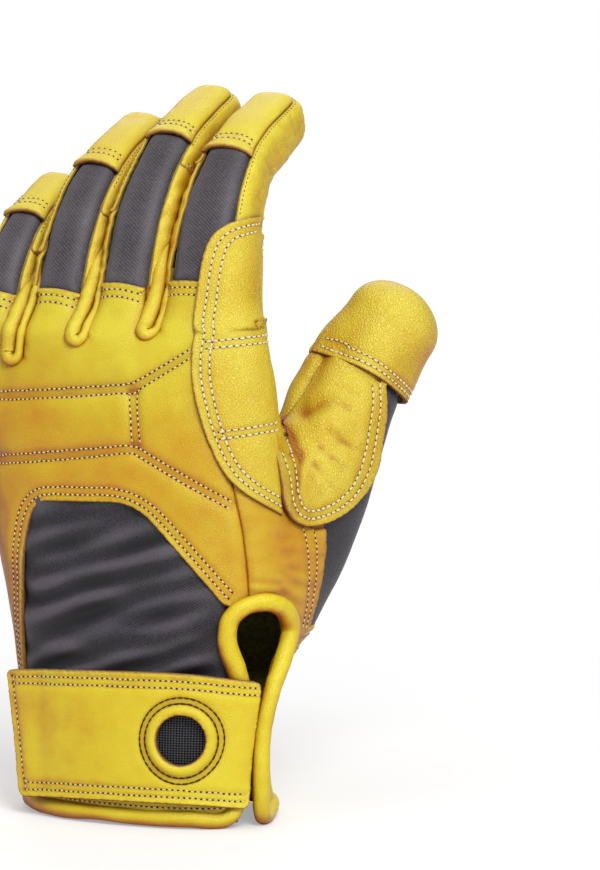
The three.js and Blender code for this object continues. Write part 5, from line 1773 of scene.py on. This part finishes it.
heel = Sheet(
    palm_chart,
    [
        (80, 1, 0, "bound"), (69, 9, 4, "bound"), (68, 29, 4, "bound"), (74, 45, 4, "bound"),
        (83, 54, 3, "seam"), (104, 61, 4, "seam"), (122, 63, 6, "seam"), (158, 66, 10, "seam"),
        (163, 100, 10, "seam"), (152, 112, 4, "under"), (158, 140, 2, "under"),
        (360 + LITTLE_SEAM, 150, 0, "seam"), (360 + LITTLE_SEAM, 1, 0, "bound"),
    ],
    rise=HIDE_RISE, thickness=HIDE_WALL,
)
FLAP_STANDS = 3  # the flap lies over the strap's sewn end
WAIST = ([0, 10, 28, 45, 55, 62], [2.5, 4.5, 5.6, 5, 3, 0])  # height, how far it draws in


def drawn_in(angle, up):
    """How far the thumb's side of the wrist draws in beside the flap."""
    beside = smoothstep(angle, 74, 92) * (1 - smoothstep(angle, 118, 152))
    return np.interp(up, *WAIST) * beside


heel_angle = np.interp(heel.flat[:, 0], palm_chart.arc, palm_chart.angles)
heel.base += (
    FLAP_STANDS * (1 - smoothstep(heel_angle, 71, 80)) * (1 - smoothstep(heel.flat[:, 1], 44, 60))
)
heel.base -= drawn_in(heel_angle, heel.flat[:, 1])
heel.dent(30, 0.4, 120)
heel.fold((120, 40), (200, 46), 0.5, 5)
for inset in (ROW_INSET, ROW_INSET + ROW_GAP):
    heel.sew(heel.beside(5, 8.8, inset), "cream")
little_side = Sheet(
    Round(fingers[3], 30),
    [(-48, 2, 0), (-48, 49, 0, "under"), (-132, 49, 0), (-132, 2, 0, "under")],
    rise=HIDE_RISE, thickness=HIDE_WALL,
)
little_side.dent(12, 0.3, 121)
# The seam's turned-in edge closes the join with the ball of the thumb from inside.
turned_in = Sheet(
    palm_chart, [(150, 70, 3), (167, 70, 3), (169, 106, 3), (152, 108, 3)],
    rise=-0.4, thickness=HIDE_WALL, edge="under",
)
piece("palm_hide", ["palm_panel"], [heel, little_side, turned_in], FRONT_LOOKS)
sewing("palm_stitches", [heel])


# Wrist strap
# A broad double-layer strap sewn to the thumb's side of the cuff. It crosses the back of
# the wrist over its loop pad, and has a round hole with a raised rim for clipping it up.

STRAP = dict(rise=4.75, wall=2.4, stands=3)
STRAP_EDGES = [
    # angle at the foot, foot, angle at the top, top
    (-49, 5.8, -53, 49), (-25, 7.2, -25, 50.8), (0, 8.3, 0, 52.4), (25, 8.5, 25, 53),
    (45, 7.6, 45, 51.6), (62.5, 6, 67.5, 49.5),
]
CLIP = dict(angle=26.5, up=30.1, radius=8.6, rim=10.4, rows=(12.7, 14.7))
strap_middle = palm_chart.flat([(CLIP["angle"], CLIP["up"])])[0]


class Loop:
    """A circle on a chart, given as angle round it and radius."""

    def flat(self, rows):
        rows = np.asarray(rows, float)
        turn = np.radians(rows[:, 0])
        return strap_middle + np.column_stack([np.cos(turn), np.sin(turn)]) * rows[:, 1:2]


class Strap(Round):
    """The hand's chart, with circles about the clip hole too."""

    def flat(self, rows):
        return Loop().flat(rows) if np.asarray(rows)[0][0] >= 1000 else super().flat(rows)


strap_chart = Strap(hand, 80)
foot = [(row[0], row[1], 3 if k in (0, 5) else 14, "raw") for k, row in enumerate(STRAP_EDGES)]
top = [(row[2], row[3], 3 if k in (0, 5) else 14, "raw") for k, row in enumerate(STRAP_EDGES)]
strap = Sheet(
    strap_chart, foot + top[::-1],
    rise=STRAP["rise"], thickness=STRAP["wall"], edge="raw",
    holes=[[(1080 + k * 360 / 28, CLIP["radius"], 0, "raw") for k in range(28)]],
)
ends = strap_chart.flat([(STRAP_EDGES[0][2], 0), (STRAP_EDGES[-1][2], 0)])[:, 0]
along_strap = (strap.flat[:, 0] - ends[0]) / (ends[1] - ends[0])
strap.base += STRAP["stands"] * (1 - smoothstep(along_strap, 0, 0.16))
from_clip = np.linalg.norm(strap.flat - strap_middle, axis=1)
strap.base += 0.8 * np.exp(-(((from_clip - CLIP["rim"]) / 1.5) ** 2))
strap.dent(40, 0.35, 130)
for inset in (ROW_INSET, ROW_INSET + ROW_GAP):
    for column, way in ((0, 1), (2, -1)):
        angles = np.arange(STRAP_EDGES[0][column] + 3, STRAP_EDGES[-1][column] - 1, 2.0)
        heights = np.interp(angles, *np.array(STRAP_EDGES).T[column:column + 2])
        heights = np.convolve(np.pad(heights, 5, mode="edge"), np.ones(11) / 11, "valid")
        strap.sew(strap.path(np.column_stack([angles, heights + way * inset])), "quilted")
strap.sew(strap.beside(11, 12, ROW_INSET), "quilted")
for radius in CLIP["rows"]:
    ring = Loop().flat([(k * 5, radius) for k in range(73)])
    strap.sew(ring, "black", depth=0.35)
piece("strap_hide", ["wrist_strap"], [strap], HIDE_LOOKS)
sewing("strap_stitches", [strap])


# Loop pad
# The black knit that the strap fastens to, seen through the clip hole.

knit, wiring, surface = material("black_knit", Roughness=0.95, Specular_IOR_Level=0.1)
WALE = 1.05  # width of a column of loops
COURSE = 0.85  # height of a row of loops
uv = wiring.add("ShaderNodeUVMap", uv_map="cut").outputs[0]
uv = wiring.add("ShaderNodeSeparateXYZ", {0: uv})
wale = wiring.sum("SINE", wiring.sum("MULTIPLY", uv.outputs[0], 2 * math.pi / (WALE * MM)))
course = wiring.sum("SINE", wiring.sum("MULTIPLY", uv.outputs[1], 2 * math.pi / (COURSE * MM)))
loops = wiring.sum("MULTIPLY_ADD", wiring.sum("ADD", wale, course), 0.5, 0.0)
raised = wiring.sum("MULTIPLY_ADD", loops, 0.5, 0.5)
tone = ramp(wiring, raised, [(0.25, "0b0b0c"), (0.95, "5a5a5e")])
wiring.tree.links.new(tone, surface.inputs["Base Color"])
bump = wiring.add("ShaderNodeBump", {"Height": loops, "Distance": 0.3 * MM})
wiring.tree.links.new(bump.outputs[0], surface.inputs["Normal"])
pad = Sheet(
    palm_chart,
    [(-46, 8, 2), (50, 8, 2), (50, 45, 2), (-46, 45, 2)],
    rise=2.1, thickness=1, edge="raw",
)
piece("loop_pad_knit", ["loop_pad"], [pad], [knit, knit, knit])


# Cuff binding
# A roll of hide sewn round the cuff: along the hem, up one side of the slit, round its
# keyhole and down over the strap's end to the flap's corner.

BINDING_RADIUS = 2.9
CUFF_EDGE = [
    # angle, height of the roll's underside, lift off the hand
    (0, 0, 0), (30, 0, 0), (50, 0, 0), (59, 6, 0), (61, 25, 0), (60, 40, 0), (53, 51, 0),
    (47, 60, 0.3), (48, 68, 0.4), (56, 72, 0.5), (71, 73, 0.5), (86, 69.5, 0.4), (92, 62, 0.4),
    (84, 53, 2.4), (75, 44, 4.2), (70, 30, 4.6), (69.5, 10, 4.4), (74, 1, 2), (86, -1, -1.5),
    (104, 0, -3.2), (125, 0, -2.2),
    (150, 0, 0), (180, 0, 0), (210, 0, 0), (235, 0, 0), (260, 0, 0), (285, 0, 0), (310, 0, 0),
    (335, 0, 0),
]
edge = np.array(CUFF_EDGE, float)
loop, ways = hand.ring(edge[:, 1] + 2.8, edge[:, 0])
loop = seat(loop, ways) + ways * edge[:, 2:3]
wrap = 4
padded_loop = np.vstack([loop[-wrap:], loop, loop[:wrap]])
spans = np.r_[0, (np.linalg.norm(np.diff(padded_loop, axis=0), axis=1) ** 0.5).cumsum()]
at = np.linspace(spans[wrap], spans[wrap + len(loop)], 900, endpoint=False)
loop = smooth_rows(spans, padded_loop, at)
middle, _, _, _, _, _ = hand.at(loop[:, 2])
outs = unit((loop - middle) * [1, 1, 0])
keyhole = smoothstep(loop[:, 2], 35, 60)
binding = Roll(loop, outs, BINDING_RADIUS + 0.35 * keyhole, closed=True, sides=22)
binding.wrinkle(16, 0.2, 140).wrinkle(4, 0.06, 141)
flange = Sheet(
    palm_chart, [(-58, 1.5, 0), (58, 1.5, 0), (58, 11, 0), (-58, 11, 0)],
    rise=0.9, thickness=1.2, edge="seam",
)
flange.dent(6, 0.25, 142)
flange.sew(smooth_path(flange.path([(-52, 6.5), (50, 6.5)])), "quilted", depth=0.3)
piece("binding_hide", ["cuff_binding"], [binding, flange], HIDE_LOOKS)
sewing("binding_stitches", [flange])


# Studio
# A pale table under soft light, and the camera at the photograph's place.

CAMERA = dict(azimuth=24, elevation=8, distance=2200, millimetres_a_pixel=0.341)
PICTURE = (600, 870)
ORIGIN_PIXEL = (150, 808)  # where the middle of the wrist opening lies in the picture


def studio():
    turn, rise = math.radians(CAMERA["azimuth"]), math.radians(CAMERA["elevation"])
    right = np.array([math.cos(turn), math.sin(turn), 0])
    ahead = np.array([
        -math.sin(turn) * math.cos(rise), math.cos(turn) * math.cos(rise), -math.sin(rise)
    ])
    above = np.cross(right, ahead)
    scale = CAMERA["millimetres_a_pixel"]
    aim = (
        right * (PICTURE[0] / 2 - ORIGIN_PIXEL[0]) + above * (ORIGIN_PIXEL[1] - PICTURE[1] / 2)
    ) * scale
    camera = bpy.data.objects.new("camera", bpy.data.cameras.new("camera"))
    bpy.context.scene.collection.objects.link(camera)
    camera.data.sensor_width = 36
    camera.data.lens = 36 * CAMERA["distance"] / (PICTURE[1] * scale)
    camera.location = Vector((aim - ahead * CAMERA["distance"]) * MM)
    camera.rotation_mode = "QUATERNION"
    camera.rotation_quaternion = Vector(ahead).to_track_quat("-Z", "Y")
    camera.data.clip_end = 100
    bpy.context.scene.camera = camera

    table = bpy.data.meshes.new("floor")
    half = 8.0
    level = cad_box[0][2]
    table.from_pydata(
        [(-half, -half, level), (half, -half, level), (half, half, level), (-half, half, level)],
        [], [(0, 1, 2, 3)],
    )
    look, wiring, surface = material("pale_table", Roughness=0.9)
    surface.inputs["Base Color"].default_value = (0.95, 0.95, 0.95, 1)
    place = wiring.add("ShaderNodeTexCoord").outputs["Object"]
    away = wiring.add("ShaderNodeVectorMath", {0: place}, operation="LENGTH").outputs["Value"]
    seen = wiring.add("ShaderNodeLightPath").outputs["Is Camera Ray"]
    pale = wiring.sum("MAXIMUM", wiring.sum("MULTIPLY_ADD", away, 2.6, 0.1), 0.35)
    pale = wiring.sum("MULTIPLY", wiring.sum("MINIMUM", pale, 1.0), seen)
    glow = wiring.add("ShaderNodeEmission", {"Strength": 1.0})
    both = wiring.add("ShaderNodeMixShader", {0: pale, 1: surface.outputs[0], 2: glow.outputs[0]})
    wiring.tree.links.new(both.outputs[0], wiring.tree.nodes["Material Output"].inputs["Surface"])
    table.materials.append(look)
    floor = bpy.data.objects.new("floor", table)
    bpy.context.scene.collection.objects.link(floor)

    lamps = [
        # name, place round the glove, height, distance, size, watts
        ("key", 42, 42, 1.5, 0.6, 18),
        ("fill", -60, 25, 1.6, 1.2, 2.5),
        ("top", 10, 78, 1.4, 0.9, 3.5),
        ("back", 200, 35, 1.6, 1.2, 8),
    ]
    middle = Vector((0, 0.01, 0.12))
    for name, azimuth, elevation, distance, size, watts in lamps:
        light = bpy.data.lights.new(name, "AREA")
        light.size, light.energy = size, watts
        lamp = bpy.data.objects.new(name, light)
        a, e = math.radians(azimuth), math.radians(elevation)
        way = Vector((math.sin(a) * math.cos(e), -math.cos(a) * math.cos(e), math.sin(e)))
        lamp.location = middle + way * distance
        lamp.rotation_mode = "QUATERNION"
        lamp.rotation_quaternion = (-way).to_track_quat("-Z", "Y")
        bpy.context.scene.collection.objects.link(lamp)
    world = bpy.data.worlds.new("studio")
    world.use_nodes = True
    backdrop = world.node_tree.nodes["Background"]
    backdrop.inputs["Color"].default_value = (1, 1, 1, 1)
    wiring = Wiring(world.node_tree)
    seen = wiring.add("ShaderNodeLightPath").outputs["Is Camera Ray"]
    wiring.tree.links.new(
        wiring.sum("MULTIPLY_ADD", seen, 0.68, 0.32), backdrop.inputs["Strength"]
    )
    bpy.context.scene.world = world
    bpy.context.scene.view_settings.view_transform = "Standard"


studio()
